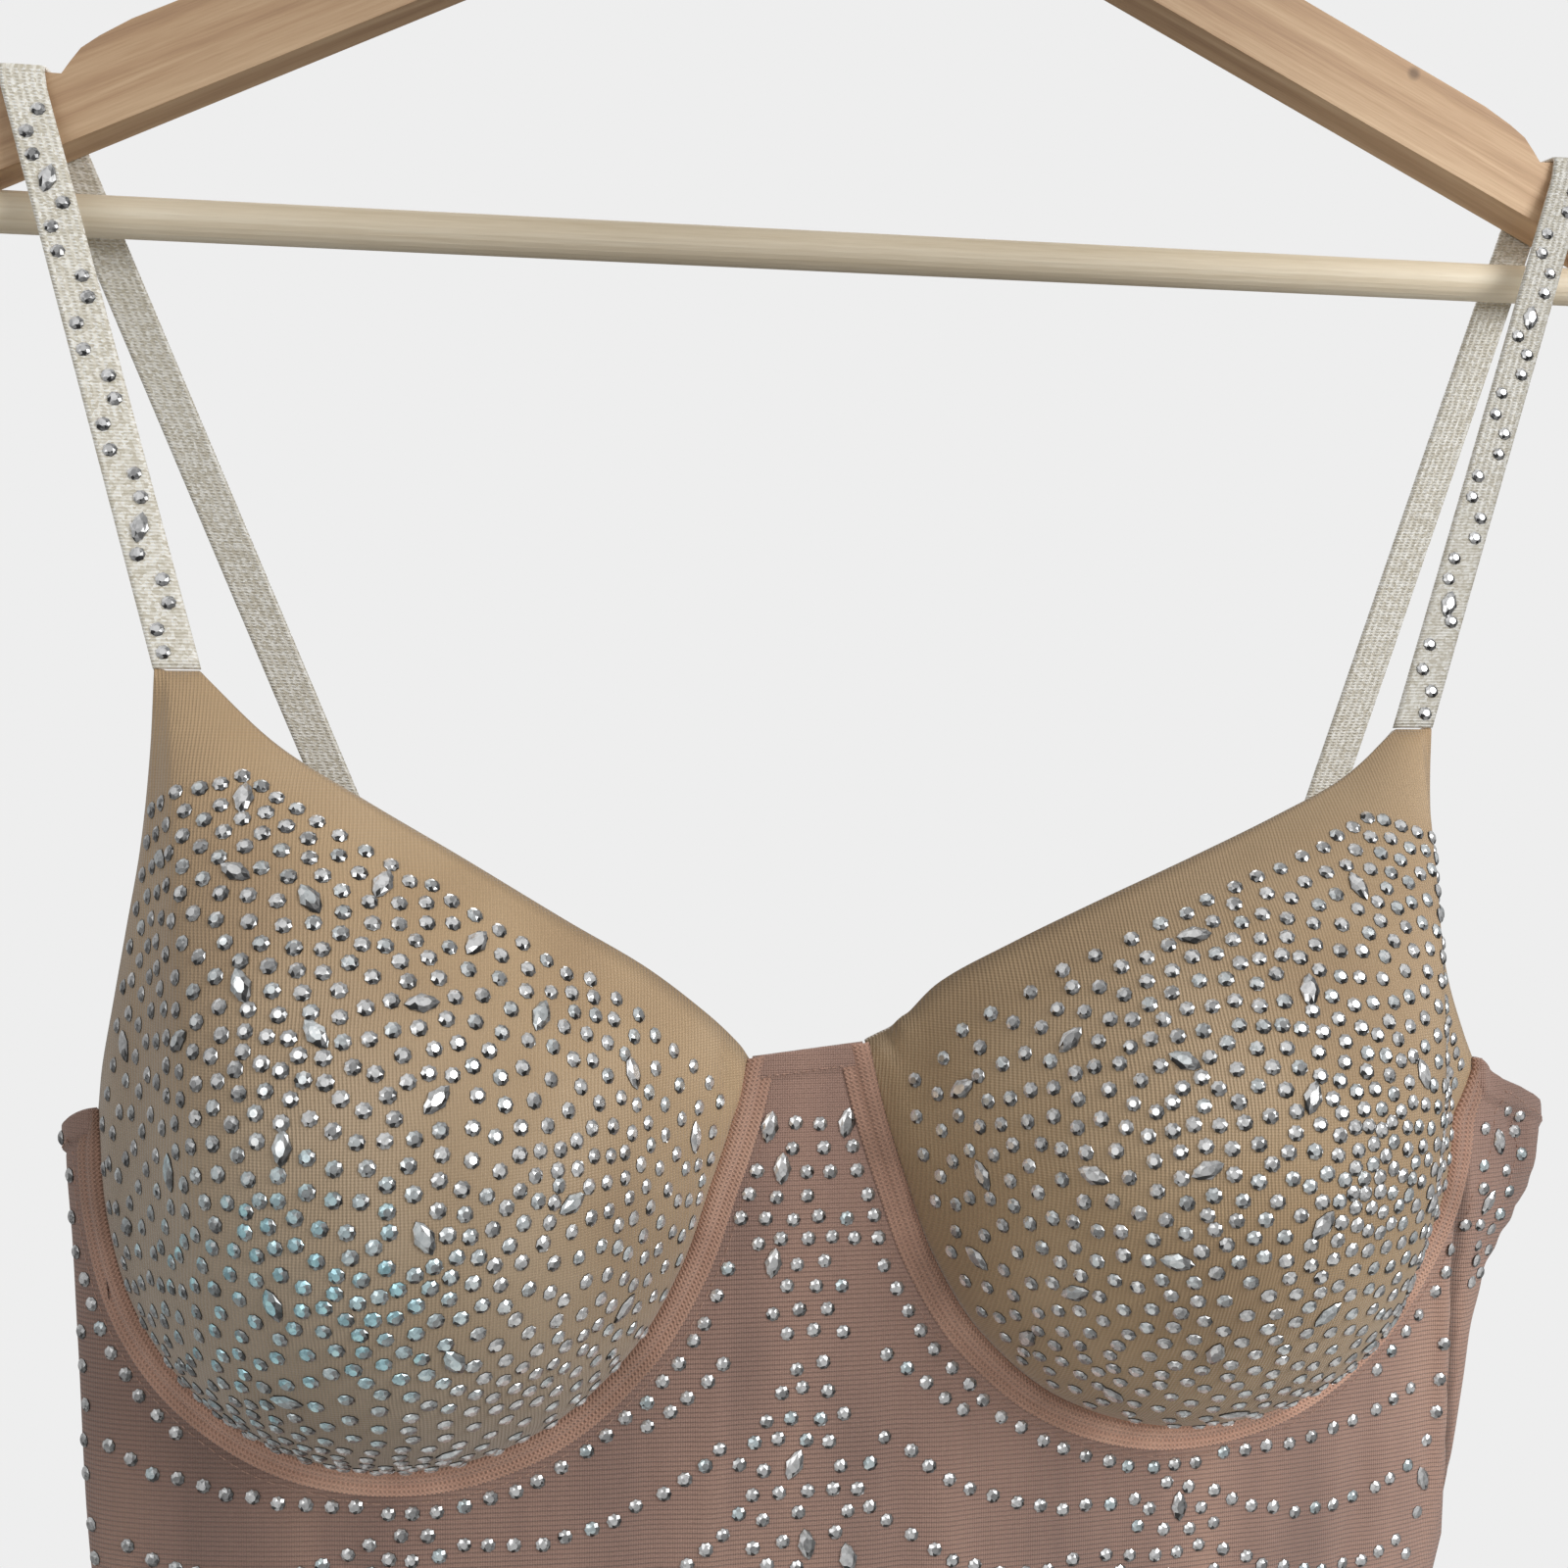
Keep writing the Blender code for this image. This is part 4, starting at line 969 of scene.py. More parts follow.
# Near the hanger the weave opens to a basket weave
open_weave = add_node(silver_elastic, "MapRange",
                      {"Value": elastic_parts["Y"], "From Min": 0.045, "From Max": 0.075,
                       "To Min": 0.15, "To Max": 1.0})
elastic_height = add_node(silver_elastic, "Math",
                          {0: checker["Value"], 1: open_weave["Result"], 2: cords},
                          operation="MULTIPLY_ADD")["Value"]
glitter = add_node(silver_elastic, "TexVoronoi", {"Vector": elastic_cloth, "Scale": 1500.0},
                   voronoi_dimensions="2D")
glitter_tone = add_node(silver_elastic, "SeparateColor", {"Color": glitter["Color"]})
cord_tone = add_node(silver_elastic, "Math", {0: elastic_height, 1: 0.22}, operation="MULTIPLY")
elastic_tone = add_node(silver_elastic, "Math",
                        {0: glitter_tone["Red"], 1: 0.9, 2: cord_tone["Value"]},
                        operation="MULTIPLY_ADD")
elastic_base = add_node(silver_elastic, "ValToRGB", {"Fac": elastic_tone["Value"]},
                        ((0.0, "#C3BBA8"), (0.45, "#DDD8CB"), (0.95, "#F6F4ED")))["Color"]
# The front runs are painted lighter on the left strap and darker on the right one: painted sheen
# and painted shade
elastic_place = add_node(silver_elastic, "TexCoord")["Object"]
elastic_across = add_node(silver_elastic, "SeparateXYZ", {"Vector": elastic_place})
elastic_painted_sheen = add_node(silver_elastic, "MapRange",
                          {"Value": elastic_across["X"], "From Min": -0.17, "From Max": 0.14,
                           "To Min": 1.24, "To Max": 0.84})
finish_surface(silver_elastic, elastic_shader, elastic_base, (
    (elastic_parts["Y"], 0.155, 0.175, elastic_painted_sheen["Result"], 1.0),
), elastic_height, 0.00006)

for side in SIDES:
    stations = strap_line(side)
    places = np.zeros((len(stations), STRAP_COLS + 1, 3))
    cloth = np.zeros((len(stations), STRAP_COLS + 1, 2))
    walked = 0.0
    for row, (place, outward, slant) in enumerate(stations):
        if row:
            walked += (place - stations[row - 1][0]).length
        for col in range(STRAP_COLS + 1):
            shift = STRAP_WIDTH * (col / STRAP_COLS - 0.5)
            high = STRAP_WALL - (STRAP_SWELL if col in (0, STRAP_COLS) else 0.0)
            places[row, col] = place + Vector((shift, shift * slant, 0.0)) + outward * high
            cloth[row, col] = (shift, walked)
    strap = shell(f"strap_cloth_{side}", places, 0.0010, cloth=cloth, roll=0.0001)
    strap.data.materials.append(silver_elastic)
    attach(strap, "root")
    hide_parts(f"strap_{side}")


# Stones: flat-backed foiled glass, round 3.5 mm and pointed 7.4 by 4.2 mm, glued on by hand in
# close rows on the cups and in strings and swags on the body.
ROUND_RADIUS = 0.00175
STONE_SIDES = 8
GIRDLE_HEIGHT = 0.00030
deselect()
bpy.ops.mesh.primitive_cylinder_add(vertices=STONE_SIDES, radius=ROUND_RADIUS,
                                    depth=GIRDLE_HEIGHT, location=(0, 0, GIRDLE_HEIGHT / 2))
round_stone = bpy.context.object
bpy.ops.object.transform_apply(location=True, rotation=True, scale=True)
bpy.ops.object.mode_set(mode="EDIT")
bpy.ops.mesh.select_all(action="DESELECT")
built = bmesh.from_edit_mesh(round_stone.data)
for face in built.faces:
    face.select_set(face.normal.z > 0.9)
bmesh.update_edit_mesh(round_stone.data)
# Two rows of crown facets, each turned half a facet, and the flat table
for rise, share in ((0.00032, 0.80), (0.00030, 0.58)):
    bpy.ops.mesh.extrude_region_move(TRANSFORM_OT_translate={"value": (0, 0, rise)})
    bpy.ops.transform.resize(value=(share, share, 1.0))
    bpy.ops.transform.rotate(value=math.pi / STONE_SIDES, orient_axis="Z",
                             center_override=(0, 0, 0))
bpy.ops.mesh.select_all(action="SELECT")
bpy.ops.mesh.quads_convert_to_tris()
bpy.ops.object.mode_set(mode="OBJECT")
stone_points = np.array([v.co for v in round_stone.data.vertices])
stone_faces = [tuple(face.vertices) for face in round_stone.data.polygons]
bpy.data.objects.remove(round_stone)

# The pointed stone is the round one drawn out, its sides pulled in towards both ends
POINTED_HALF_LENGTH, POINTED_HALF_WIDTH = 0.0037, 0.0021
POINTED_TAPER = 0.45
POINTED_RISE = 1.25
long_points = stone_points.copy()
long_points[:, 0] *= POINTED_HALF_LENGTH / ROUND_RADIUS
reach = np.clip(np.abs(long_points[:, 0]) / POINTED_HALF_LENGTH, 0.0, 1.0)
long_points[:, 1] *= POINTED_HALF_WIDTH / ROUND_RADIUS * (1 - POINTED_TAPER * reach ** 2)
long_points[:, 2] *= POINTED_RISE

# Foiled glass: clear cut glass over a silvered back, each facet painted with a reflection, so it is
# nearly white, grey or black, and some have a blue tinge
draw = np.random.default_rng(7)
foil_glass, foil_shader = start_material(
    "foiled_glass", "#DDE2E6", 0.10, 0.65, Coat_Weight=0.6, Coat_Roughness=0.03)
foil_painted_reflection = add_node(foil_glass, "VertexColor", layer_name="foil")["Color"]
foil_place = add_node(foil_glass, "TexCoord")["Object"]
foil_cells = add_node(foil_glass, "TexVoronoi",
                      {"Vector": foil_place, "Scale": 1100.0})
# Small cells of painted sparkle, painted reflections inside each stone
foil_painted_sparkle = add_node(foil_glass, "SeparateColor", {"Color": foil_cells["Color"]})
finish_surface(foil_glass, foil_shader, foil_painted_reflection, ((foil_painted_sparkle["Red"], 0.0, 1.0, 0.75, 1.15),))


def facet_leans(points):
    """How far each facet's normal leans along the stone's own two directions and outward."""
    leans = []
    for face in stone_faces:
        a, b, c = (points[v] for v in face[:3])
        lean = np.cross(b - a, c - a)
        leans.append(lean / np.linalg.norm(lean))
    return np.array(leans)


# Directions, in turns of the stone, and spans of the facets painted with the lamp's reflection and
# the dark
BRIGHT_WAY, DARK_WAY = 0.5, -1.25
BRIGHT_SPAN, DARK_SPAN = 0.58, 0.36
# The rim's painted shade, and the painted reflections a table may get
RIM_PAINTED_SHADE = 0.07
TABLE_PAINTED_REFLECTIONS = (0.45, 0.75, 1.0, 1.0)
BLUE_TINGE = np.array((0.44, 0.09, 0.0))
GLUE_DEPTH = 0.00012
round_leans, long_leans = facet_leans(stone_points), facet_leans(long_points)
facet_corners = np.array([len(face) for face in stone_faces])
on_rim, on_table = round_leans[:, 2] < 0.05, round_leans[:, 2] > 0.97


def turned_from(ways, way):
    """How far facets face away from a direction, in radians."""
    return np.abs((ways - way + math.pi) % (2 * math.pi) - math.pi)


def set_stones(name, stones):
    """One mesh of many stones: place, outward normal, size, pointed or round, turn, blue share."""
    points, faces, colours = [], [], []
    for place, normal, size, pointed, turn, blue in stones:
        shape = long_points if pointed else stone_points
        leans = long_leans if pointed else round_leans
        out = np.array(normal)
        right = np.cross(out, (0.0, 0.0, 1.0))
        right /= np.linalg.norm(right)
        up = np.cross(right, out)
        first = math.cos(turn) * right + math.sin(turn) * up
        second = math.cos(turn) * up - math.sin(turn) * right
        local = shape * size
        placed = np.array(place) + local[:, :1] * first + local[:, 1:2] * second
        start = len(points) * len(stone_points)
        faces.extend(tuple(v + start for v in face) for face in stone_faces)
        points.append(placed + (local[:, 2:3] - GLUE_DEPTH) * out)
        # Painted reflections of the foil: a painted highlight of the lamp in facets on the right,
        # the dark in one or two below, and painted shade on the rim all round
        way = np.arctan2(leans[:, 1], leans[:, 0]) + turn
        tone = draw.uniform(0.42, 0.64) + 0.30 * np.cos(way - BRIGHT_WAY)
        tone += draw.normal(0.0, 0.09, len(leans))
        tone[turned_from(way, draw.normal(BRIGHT_WAY, 0.5)) < BRIGHT_SPAN] = 1.0
        tone[turned_from(way, draw.normal(DARK_WAY, 0.4)) < DARK_SPAN] = 0.0
        tone[on_table] = draw.choice(TABLE_PAINTED_REFLECTIONS)
        tone[on_rim] = RIM_PAINTED_SHADE
        tone = np.clip(tone, 0.04, 1.0)[:, None]
        tinge = blue * np.clip((tone - 0.35) / 0.3, 0.1, 1.0)
        tone = tone * (1 - tinge * BLUE_TINGE)
        colours.append(np.repeat(np.c_[tone, np.ones(len(tone))], facet_corners, axis=0))
    mesh = bpy.data.meshes.new(name)
    mesh.from_pydata([tuple(p) for p in np.concatenate(points)], [], faces)
    layer = mesh.color_attributes.new("foil", "FLOAT_COLOR", "CORNER")
    layer.data.foreach_set("color", np.concatenate(colours).astype(np.float32).ravel())
    piece = bpy.data.objects.new(name, mesh)
    scene.collection.objects.link(piece)
    piece.data.materials.append(foil_glass)
    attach(piece, "root")


def spread(places, weights, count, rounds=40):
    """Even out a number of seeds over weighted places: each moves to its own share's middle."""
    seeds = places[draw.choice(len(places), count, replace=False, p=weights / weights.sum()), :3]
    for _ in range(rounds):
        far = (seeds ** 2).sum(1) - 2 * places[:, :3] @ seeds.T
        near = far.argmin(1)
        total = np.zeros((count, places.shape[1]))
        np.add.at(total, near, places * weights[:, None])
        shares = np.maximum(np.bincount(near, weights, minlength=count), 1e-12)[:, None]
        seeds = (total / shares)[:, :3]
    return total / shares


def finer(grid, times):
    """The same grid with points added evenly between its rows and its columns."""
    for axis in (0, 1):
        place = np.linspace(0, grid.shape[axis] - 1, times * (grid.shape[axis] - 1) + 1)
        low = np.minimum(place.astype(int), grid.shape[axis] - 2)
        share = (place - low).reshape((-1, 1, 1) if axis == 0 else (1, -1, 1))
        grid = np.take(grid, low, axis) * (1 - share) + np.take(grid, low + 1, axis) * share
    return grid


# Cups: the stones fill the middle and leave a bare margin along every edge
CUP_STONES = 680
CUP_POINTED = 26
CUP_GRID = 46
POINTED_CLEAR = 0.0042
TURNED_WEIGHT = 0.15
BLUE_PATCH = {"x": -0.128, "z": -0.432, "wide": 0.042, "high": 0.040}
NECK_MARGIN, ARM_MARGIN, WIRE_MARGIN, TIP_MARGIN = 0.0092, 0.0050, 0.0062, 0.026
for side in SIDES:
    surface = cup_surfaces[side]
    shares = np.linspace(0.0, 1.0, CUP_GRID)
    grid = finer(np.array([[(*surface(u, v), u, v) for v in shares] for u in shares]), 3)
    spots = grid[..., :3]
    crossed = np.cross(np.gradient(spots, axis=0), np.gradient(spots, axis=1))
    # The rows are closest over the cup's front and open up where it turns away
    area = TURNED_WEIGHT * np.linalg.norm(crossed, axis=-1)
    area += (1 - TURNED_WEIGHT) * np.abs(crossed[..., 1])
    inside = np.ones(area.shape, bool)
    for edge, margin in ((spots[0], NECK_MARGIN), (spots[-1], ARM_MARGIN),
                         (spots[:, 0], WIRE_MARGIN), (spots[:, -1], TIP_MARGIN)):
        for row in range(len(spots)):
            gap = np.linalg.norm(spots[row][:, None] - edge[None, ::3], axis=-1).min(1)
            inside[row] &= gap > margin
    chosen, weights = grid[inside], area[inside]
    spots = spread(chosen, weights, CUP_STONES)
    kept = []
    for row in spread(chosen, weights, CUP_POINTED, rounds=4):
        nearest = spots[((spots[:, :3] - row[:3]) ** 2).sum(1).argmin()]
        kept.append((float(nearest[3]), float(nearest[4]), True))
    marks = np.array([surface(u, v) for u, v, _ in kept])
    for row in spots:
        if ((marks - row[:3]) ** 2).sum(1).min() > POINTED_CLEAR ** 2:
            kept.append((float(row[3]), float(row[4]), False))
    stones = []
    for u, v, pointed in kept:
        here = surface(u, v)
        du = surface(min(1, u + 0.01), v) - surface(max(0, u - 0.01), v)
        dv = surface(u, min(1, v + 0.01)) - surface(u, max(0, v - 0.01))
        normal = du.cross(dv) * SIDES[side]["sign"]
        if normal.y > 0:
            normal = -normal
        blue = 0.0
        if side == "left":
            blue = max(0.0, 1 - math.hypot((here.x - BLUE_PATCH["x"]) / BLUE_PATCH["wide"],
                                           (here.z - BLUE_PATCH["z"]) / BLUE_PATCH["high"]))
        blue = min(1.0, blue * draw.uniform(0.6, 2.6) + 0.15 * (draw.random() < 0.3))
        turn = draw.uniform(0, math.pi)
        stones.append((here, normal.normalized(), draw.uniform(0.97, 1.05), pointed, turn, blue))
    set_stones(f"cup_stones_{side}", stones)

# Body: chains of diamonds hang down the middle and below each cup, with swags between them and
# on to the side seams. The same pattern runs over the whole gown, wider apart below the hip.
FIRST_PERIOD = 0.078
CHAIN_TOP_Z = -0.488
SWAGS = (
    {"start": 0.0340, "end": -0.0020, "sag": 0.0085},
    {"start": 0.0146, "end": -0.0050, "sag": 0.0120},
    {"start": -0.0050, "end": -0.0090, "sag": 0.0160},
    {"start": -0.0240, "end": -0.0150, "sag": 0.0150},
)
SIDE_SWAGS = (
    {"start": 0.0020, "end": 0.0150, "sag": 0.0060},
    {"start": -0.0020, "end": -0.0040, "sag": 0.0130},
    {"start": -0.0110, "end": -0.0230, "sag": 0.0140},
    {"start": -0.0220, "end": -0.0430, "sag": 0.0120},
)
STONE_PITCH = 0.0058
DIAMOND_PITCH = 0.0062
DIAMOND_ROW = 0.0056
CHAIN_DIAMOND = {"high": 0.044, "half": 0.0180}
MIDDLE_DIAMOND = {"high": 0.068, "half": 0.0175, "rise": 0.034}
POINTED_ODDS = 0.13
# Hand-glued stones sit a little off their line
LINE_JITTER, GORE_JITTER, DIAMOND_JITTER, COLUMN_JITTER = 0.0003, 0.0004, 0.0006, 0.0010
# The room that a stone needs about it, and the squares in which its neighbours are looked up
ROUND_NEED, POINTED_NEED = 0.0044, 0.0049
CELL = 0.006
# Shares of the way from the centre to the side seam
MIDDLE_SHARE = 0.085
CHAIN_SHARE = 0.53
SIDE_SHARE = 0.965
PERIOD_GROWTH, LAST_PERIOD = 0.012, 0.125
CASING_STRING = 0.0034
GORE_FIRST_Z = -0.4042
GORE_ROW = 0.0053
GORE_PITCH = 0.0061
GORE_FULL_ROWS, GORE_CHAIN_ROWS = 6, 4
GORE_CHAIN_HALF, GORE_CHAIN_SHIFT = 0.0062, 0.0020
GORE_POINTED = ((0, 0), (0, 3), (2, 1), (6, 0))
COLUMN_TOP_Z, COLUMN_PITCH, COLUMN_COUNT = -0.4080, 0.0085, 26
COLUMN_SHARES = {"left": 0.978, "right": 0.940}
RIGHT_COLUMN_FIRST = 7
WING_COUNT = 24
WING_TOP_X, WING_LEAN = 0.1685, 0.0060
WING_HALF, WING_LOW_HALF = 0.0076, 0.0016
WING_TOP_Z, WING_ROW = -0.4095, 0.0019
WING_NEED, WING_CASING_GAP = 0.0036, 0.0022
WING_POINTED = (4, 12)
HEM_MARGIN, BACK_MARGIN, GORE_MARGIN = 0.012, 0.010, 0.0095
BACK_SIDE_Z = -0.408
CASING_GAP = 0.0016
GORE_HALF = 0.012
cloth_trees = {}
for face, piece in (("front", front_cloth), ("back", back_cloth)):
    cloth_trees[face] = BVHTree.FromPolygons(
        [v.co for v in piece.data.vertices], [tuple(f.vertices) for f in piece.data.polygons])
casing_line = np.array([wire(t, CLEAR) for t in np.linspace(0.0, 1.0, 160)])
casing_edge = [skin("right", s, z + gore_slope("right", s, t))
               for t, (s, z) in zip(np.linspace(0.0, 1.0, 160), casing_line)]


def on_cloth(face, s, z):
    """Place and outward normal on the creased cloth at a signed distance round and a height."""
    probe = skin("left" if s < 0 else "right", abs(s), z, face, 0.004)
    place, normal, _, _ = cloth_trees[face].find_nearest(probe)
    if (probe - place) @ normal < 0:
        normal = -normal
    return place, normal


def seen_from_front(x, z):
    """Place and outward normal where a straight look from the front meets the front cloth."""
    place, normal, _, _ = cloth_trees["front"].ray_cast(
        Vector((x, -0.2, z)), Vector((0.0, 1.0, 0.0)))
    if place is not None and normal.y > 0:
        normal = -normal
    return place, normal


def walk(line):
    """The distance walked along a line to each of its points."""
    steps = [math.dist(one, two) for one, two in zip(line, line[1:])]
    return np.concatenate([[0.0], np.cumsum(steps)])


def clear_of_edges(face, s, z):
    """Whether a stone fits at a place: below the top edge, clear of the casing, above the hem."""
    if z < HEM_Z + HEM_MARGIN:
        return False
    if face == "back":
        share = abs(s) / reach_round(z, "back")
        return z < BACK_TOP_Z + (BACK_SIDE_Z - BACK_TOP_Z) * share ** 2 - BACK_MARGIN
    gap = np.hypot(casing_line[:, 0] - abs(s), casing_line[:, 1] - z).min()
    top = np.interp(abs(s), casing_line[:, 0], casing_line[:, 1])
    if abs(s) < casing_line[0, 0]:
        top = GORE_TOP_Z - GORE_MARGIN
    return z < top - 0.0005 and (gap > CASING_GAP or abs(s) < GORE_HALF)


def glued(place, normal, pointed, blue_odds):
    """A stone of the body, with its turn, its blue share and its size drawn at random."""
    turn = draw.normal(math.pi / 2, 0.35) if pointed else draw.uniform(0, math.pi)
    blue = 0.35 * (draw.random() < blue_odds)
    return place, normal, draw.uniform(0.95, 1.02), pointed, turn, blue


def wing_stones():
    """The cluster at the top of the right side, which narrows downward."""
    kept = []
    for step in range(WING_COUNT):
        share = step / WING_COUNT
        half = WING_HALF + (WING_LOW_HALF - WING_HALF) * share
        x = WING_TOP_X - WING_LEAN * share + half * math.sin(2.4 * step)
        x += draw.normal(0.0, 0.0005)
        place, normal = seen_from_front(x, WING_TOP_Z - WING_ROW * step)
        if place is None or any((place - other[0]).length < WING_NEED for other in kept):
            continue
        if min((place - other).length for other in casing_edge) < WING_CASING_GAP:
            continue
        kept.append(glued(place, normal, step in WING_POINTED, 0.3))
    return kept


def body_stones(face):
    """All the stones of one face as place, normal, size, pointed, turn and blue share."""
    wanted = []

    def swag(share_a, z_a, share_b, z_b, sag, sign):
        fine = []
        for t in np.linspace(0.0, 1.0, 240):
            z = z_a + (z_b - z_a) * t - 4 * sag * t * (1 - t)
            share = share_a + (share_b - share_a) * t
            z = max(z, HEM_Z)
            fine.append((sign * share * reach_round(z, face), z))
        walked = walk(fine)
        count = max(2, round(walked[-1] / STONE_PITCH))
        for step in range(1, count):
            at = int(np.searchsorted(walked, walked[-1] * step / count))
            wanted.append((*fine[at], False, LINE_JITTER))

    def diamond(centre_s, top, height, width):
        rows = max(3, round(height / DIAMOND_ROW))
        for row in range(rows + 1):
            z = top - height * row / rows
            half = width * (1 - abs(2 * row / rows - 1)) + 0.0005
            count = int(half / DIAMOND_PITCH)
            shift = DIAMOND_PITCH / 2 if row % 2 else 0.0
            for col in range(-count - 1, count + 1):
                s = col * DIAMOND_PITCH + shift
                if abs(s) <= half + 0.0005:
                    pointed = draw.random() < POINTED_ODDS
                    wanted.append((centre_s + s, z, pointed, DIAMOND_JITTER))

    # Along the casings, one string just outside each
    if face == "front":
        for sign in (-1, 1):
            edge = [wire(t, CLEAR + CASING_STRING) for t in np.linspace(0.02, 0.985, 300)]
            walked = walk(edge)
            for step in range(1, int(walked[-1] / STONE_PITCH)):
                at = int(np.searchsorted(walked, STONE_PITCH * step))
                if (edge[at][1] < GORE_FIRST_Z - GORE_ROW * (GORE_FULL_ROWS - 0.4)
                        and not 0.100 < edge[at][0] < 0.140):
                    wanted.append((sign * edge[at][0], edge[at][1], False, LINE_JITTER))
        # The gore between them: full rows at the top, then a narrow chain to the first diamond
        for row in range(GORE_FULL_ROWS + GORE_CHAIN_ROWS):
            z = GORE_FIRST_Z - GORE_ROW * row
            string = np.interp(-z, [-p[1] for p in edge[:120]], [p[0] for p in edge[:120]])
            half, shift = string + 0.0015, 0.0
            if row >= GORE_FULL_ROWS:
                half, shift = GORE_CHAIN_HALF, GORE_CHAIN_SHIFT * (-1) ** (row + 1)
            count = max(2, round(2 * half / GORE_PITCH))
            for col in range(count + 1):
                pointed = (row, col) in GORE_POINTED
                wanted.append((half * (2 * col / count - 1) + shift, z, pointed, GORE_JITTER))
        # A column beside each side seam
        for step in range(COLUMN_COUNT):
            z = COLUMN_TOP_Z - COLUMN_PITCH * step
            reach = reach_round(z, face)
            wanted.append((-COLUMN_SHARES["left"] * reach, z, False, COLUMN_JITTER))
            if step >= RIGHT_COLUMN_FIRST:
                wanted.append(
                    (COLUMN_SHARES["right"] * reach, z, step % 8 == 3, COLUMN_JITTER))
    top = CHAIN_TOP_Z
    period = FIRST_PERIOD
    growth = 0.0
    while top > HEM_Z:
        grow = period / FIRST_PERIOD
        for sign in (-1, 1):
            chain = sign * CHAIN_SHARE * reach_round(top, face)
            diamond(chain, top, CHAIN_DIAMOND["high"] * grow, CHAIN_DIAMOND["half"])
            for row in SWAGS:
                swag(MIDDLE_SHARE, top + row["start"] * grow, CHAIN_SHARE,
                     top + row["end"] * grow, row["sag"] * grow, sign)
            for row in SIDE_SWAGS:
                swag(CHAIN_SHARE, top + row["start"] * grow, SIDE_SHARE,
                     top + row["end"] * grow, row["sag"] * grow, sign)
        diamond(0.0, top + MIDDLE_DIAMOND["rise"] * grow, MIDDLE_DIAMOND["high"] * grow,
                MIDDLE_DIAMOND["half"])
        top -= period
        period = min(LAST_PERIOD, period + growth)
        growth = PERIOD_GROWTH
    kept = wing_stones() if face == "front" else []
    spots = {}
    for s, z, pointed, jitter in wanted:
        s += draw.normal(0.0, jitter)
        z += draw.normal(0.0, jitter)
        if not clear_of_edges(face, s, z):
            continue
        need = POINTED_NEED if pointed else ROUND_NEED
        cell = (int(s // CELL), int(z // CELL))
        near = [other for dx in (-1, 0, 1) for dz in (-1, 0, 1)
                for other in spots.get((cell[0] + dx, cell[1] + dz), ())]
        if any(math.hypot(s - other[0], z - other[1]) < max(need, other[2]) for other in near):
            continue
        spots.setdefault(cell, []).append((s, z, need))
        kept.append(glued(*on_cloth(face, s, z), pointed, 0.12))
    return kept


HIP_Z = -0.70
for face in ("front", "back"):
    all_stones = body_stones(face)
    for part, low, high in (("bodice", HIP_Z, 0.0), ("skirt", -2.0, HIP_Z)):
        chosen = [stone for stone in all_stones if low <= stone[0].z < high]
        set_stones(f"{face}_{part}_stones", chosen)

# Straps: stones in pairs, two at one edge and then two at the other, on the front run
STRAP_PITCH = 0.0058
STRAP_SHIFT = 0.0019
STRAP_POINTED = (5, 19)
for side in SIDES:
    stations = strap_line(side)[:RUN_STEPS]
    start, end = stations[0][0], stations[-1][0]
    outward = stations[0][1]
    length = (end - start).length
    stones = []
    step = 0
    walked = 0.0035
    while walked < length - 0.002:
        edge = -1 if (step // 2) % 2 else 1
        pointed = step in STRAP_POINTED
        shift = 0.0 if pointed else edge * STRAP_SHIFT * SIDES[side]["sign"]
        place = start.lerp(end, walked / length) + outward * (STRAP_WALL + 0.00005)
        place = place + Vector((shift, 0.0, 0.0))
        turn = math.pi / 2 + draw.normal(0.2, 0.15) if pointed else draw.uniform(0, math.pi)
        stones.append((place, outward, draw.uniform(0.90, 0.97), pointed, turn, 0.0))
        walked += STRAP_PITCH + draw.normal(0.0, 0.0004) + (0.0012 if pointed else 0.0)
        step += 1
    set_stones(f"strap_stones_{side}", stones)


# Stitching: spun nylon thread in short stitches, 1.2 mm long and 1.5 mm apart, through the
# folded bands, beside the casings and along the fold of the right side's wing.
STITCH_HALVES = (0.00017, 0.00017, 0.00058)
STITCH_PITCH = 0.00150
STITCH_RISE = 0.00003
deselect()
bpy.ops.mesh.primitive_uv_sphere_add(segments=6, ring_count=4, radius=1.0)
stitch = bpy.context.object
stitch_points = np.array([v.co for v in stitch.data.vertices]) * STITCH_HALVES
stitch_faces = [tuple(face.vertices) for face in stitch.data.polygons]
bpy.data.objects.remove(stitch)
thread, thread_shader = start_material("nylon_thread", "#B48E7B", 0.6, Sheen_Weight=0.3)
thread_place = add_node(thread, "TexCoord")["Object"]
thread_twist = add_node(thread, "TexNoise", {"Vector": thread_place, "Scale": 2500.0})
thread_colour = add_node(thread, "ValToRGB", {"Fac": thread_twist["Fac"]},
                         ((0.3, "#A07C6B"), (0.7, "#C7A290")))["Color"]
finish_surface(thread, thread_shader, thread_colour, height=thread_twist["Fac"], depth=0.00005)
GORE_SEAM_HALF = 0.0120
seams = {"gore": [], "side_left": [], "side_right": [], "wire_left": [], "wire_right": []}
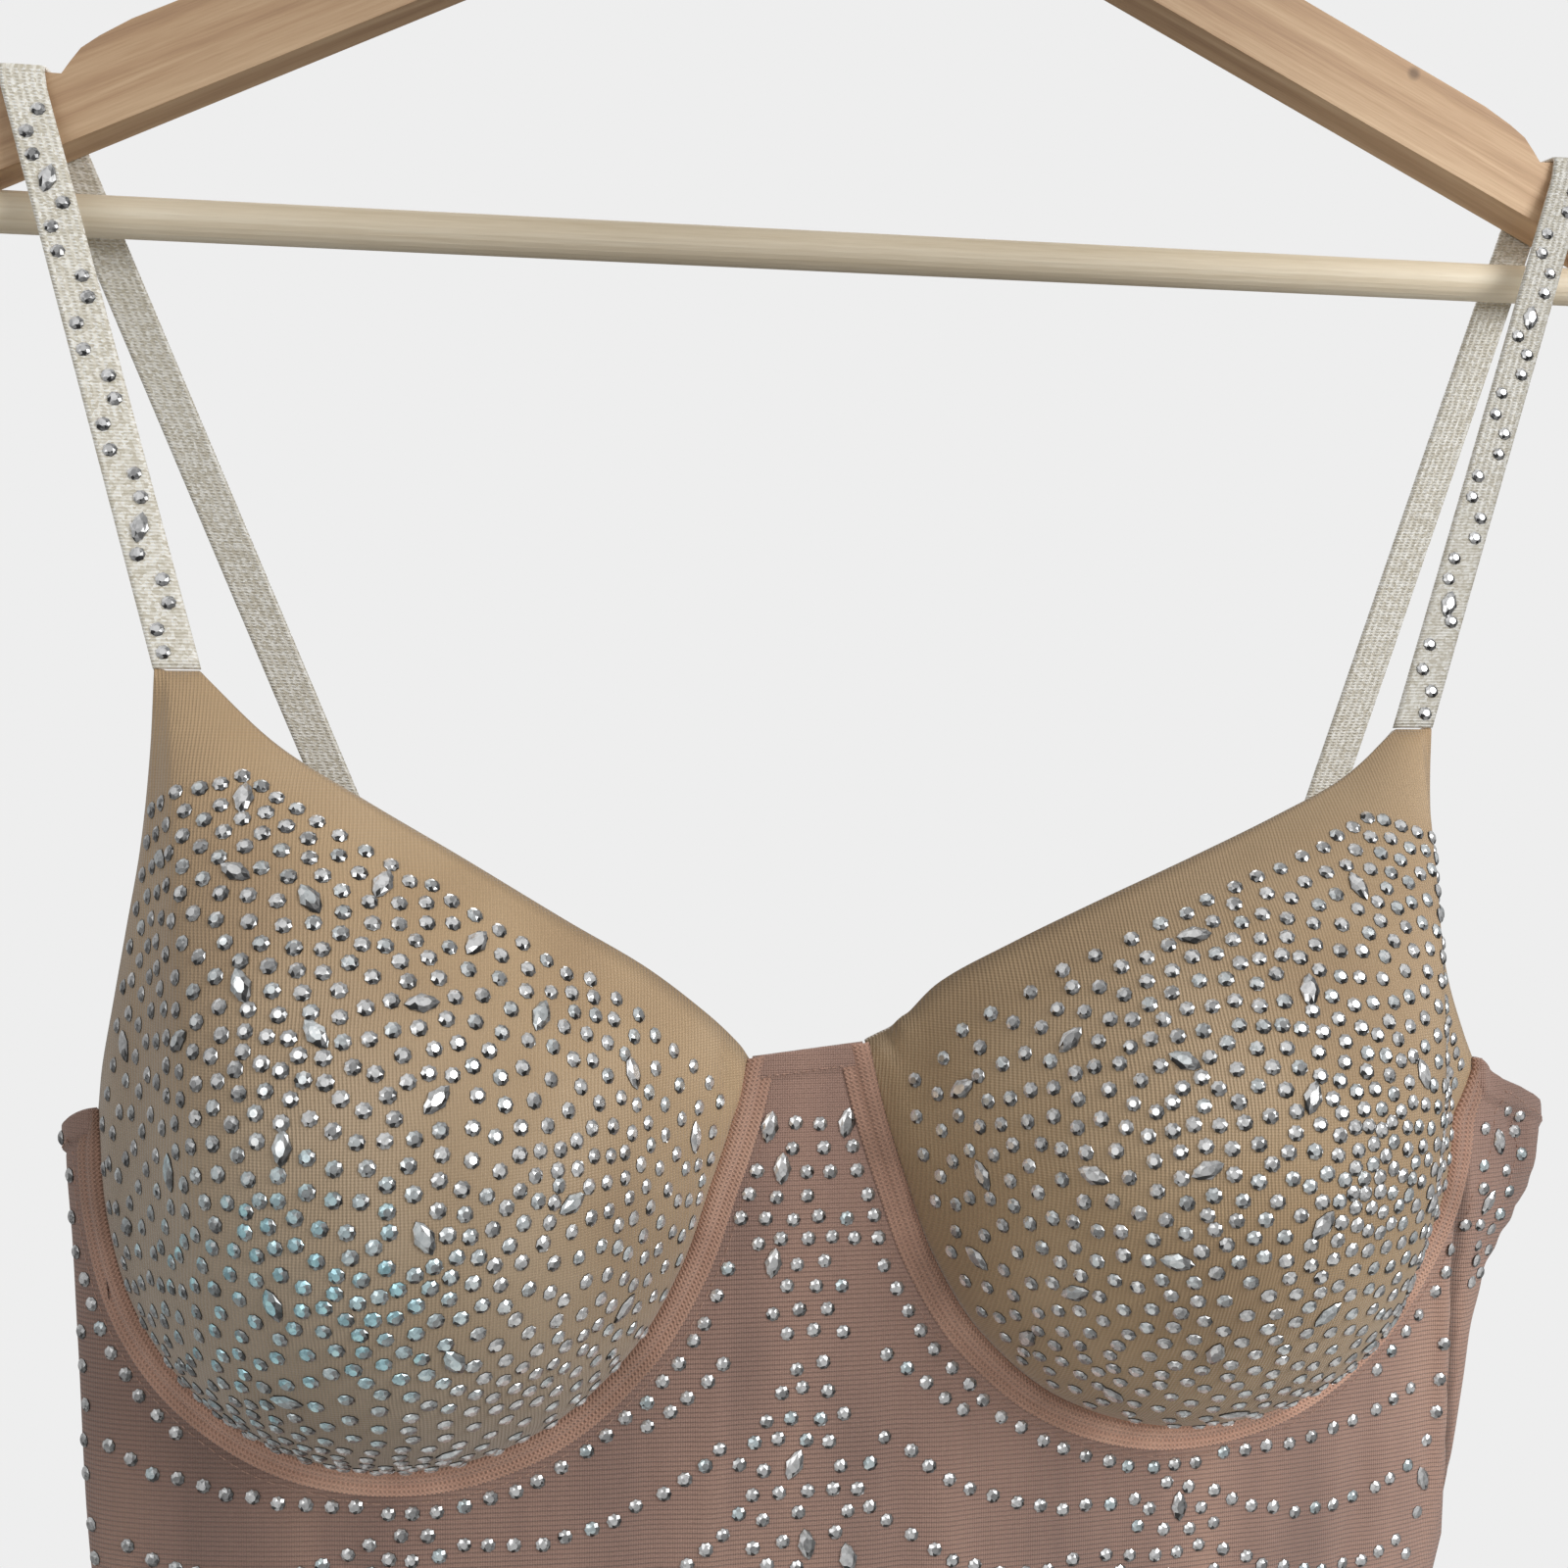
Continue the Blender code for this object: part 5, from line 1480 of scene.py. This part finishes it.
for s in np.linspace(-0.0175, 0.0175, 41):
    if abs(s) < GORE_SEAM_HALF:
        slope = gore_slope("left" if s < 0 else "right", abs(s), 0.0)
        seams["gore"].append((s, GORE_TOP_Z + slope - BAND_DROP))
for side in SIDES:
    sign = SIDES[side]["sign"]
    for t in np.linspace(0.05, 0.97, 260):
        s, z = wire(t, CLEAR + 0.0012)
        seams[f"wire_{side}"].append((sign * s, z))
    wing_s, wing_z = wire(1.0, CLEAR)
    wing_z += gore_slope(side, wing_s, 1.0)
    for t in np.linspace(0.1, 0.98, 30):
        z = wing_z + (SIDES[side]["side_top"] - wing_z) * t
        s = wing_s + (reach_round(wing_z, "front") - wing_s) * t
        seams[f"side_{side}"].append((sign * s, z - BAND_DROP))
rails = [[on_cloth("front", s, z) for s, z in line] for line in seams.values()]
# The wing's fold in x and z, where its crease runs
wing_line = ((0.1715, -0.4120), (0.1725, -0.4200), (0.1690, -0.4320), (0.1630, -0.4470))
for (x0, z0), (x1, z1) in zip(wing_line, wing_line[1:]):
    rail = []
    for t in np.linspace(0.0, 1.0, 40):
        place, normal = seen_from_front(x0 + (x1 - x0) * t, z0 + (z1 - z0) * t)
        if place is not None:
            rail.append((place, normal))
    rails.append(rail)
points, faces = [], []
for rail in rails:
    reach = walk([place for place, _ in rail])
    for step in range(int(reach[-1] / STITCH_PITCH)):
        at = min(len(rail) - 2, int(np.searchsorted(reach, STITCH_PITCH * (step + 0.5))))
        place, normal = rail[at]
        run = (rail[at + 1][0] - rail[max(0, at - 1)][0]).normalized()
        side_way = np.cross(run, normal)
        local = (stitch_points[:, :1] * side_way + stitch_points[:, 1:2] * np.array(normal)
                 + stitch_points[:, 2:3] * np.array(run))
        start = len(points) * len(stitch_points)
        faces.extend(tuple(v + start for v in face) for face in stitch_faces)
        points.append(np.array(place) + local + np.array(normal) * STITCH_RISE)
mesh = bpy.data.meshes.new("topstitch")
mesh.from_pydata([tuple(p) for p in np.concatenate(points)], [], faces)
mesh.shade_smooth()
topstitch = bpy.data.objects.new("topstitch", mesh)
scene.collection.objects.link(topstitch)
topstitch.data.materials.append(thread)
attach(topstitch, "root")

low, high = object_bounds()
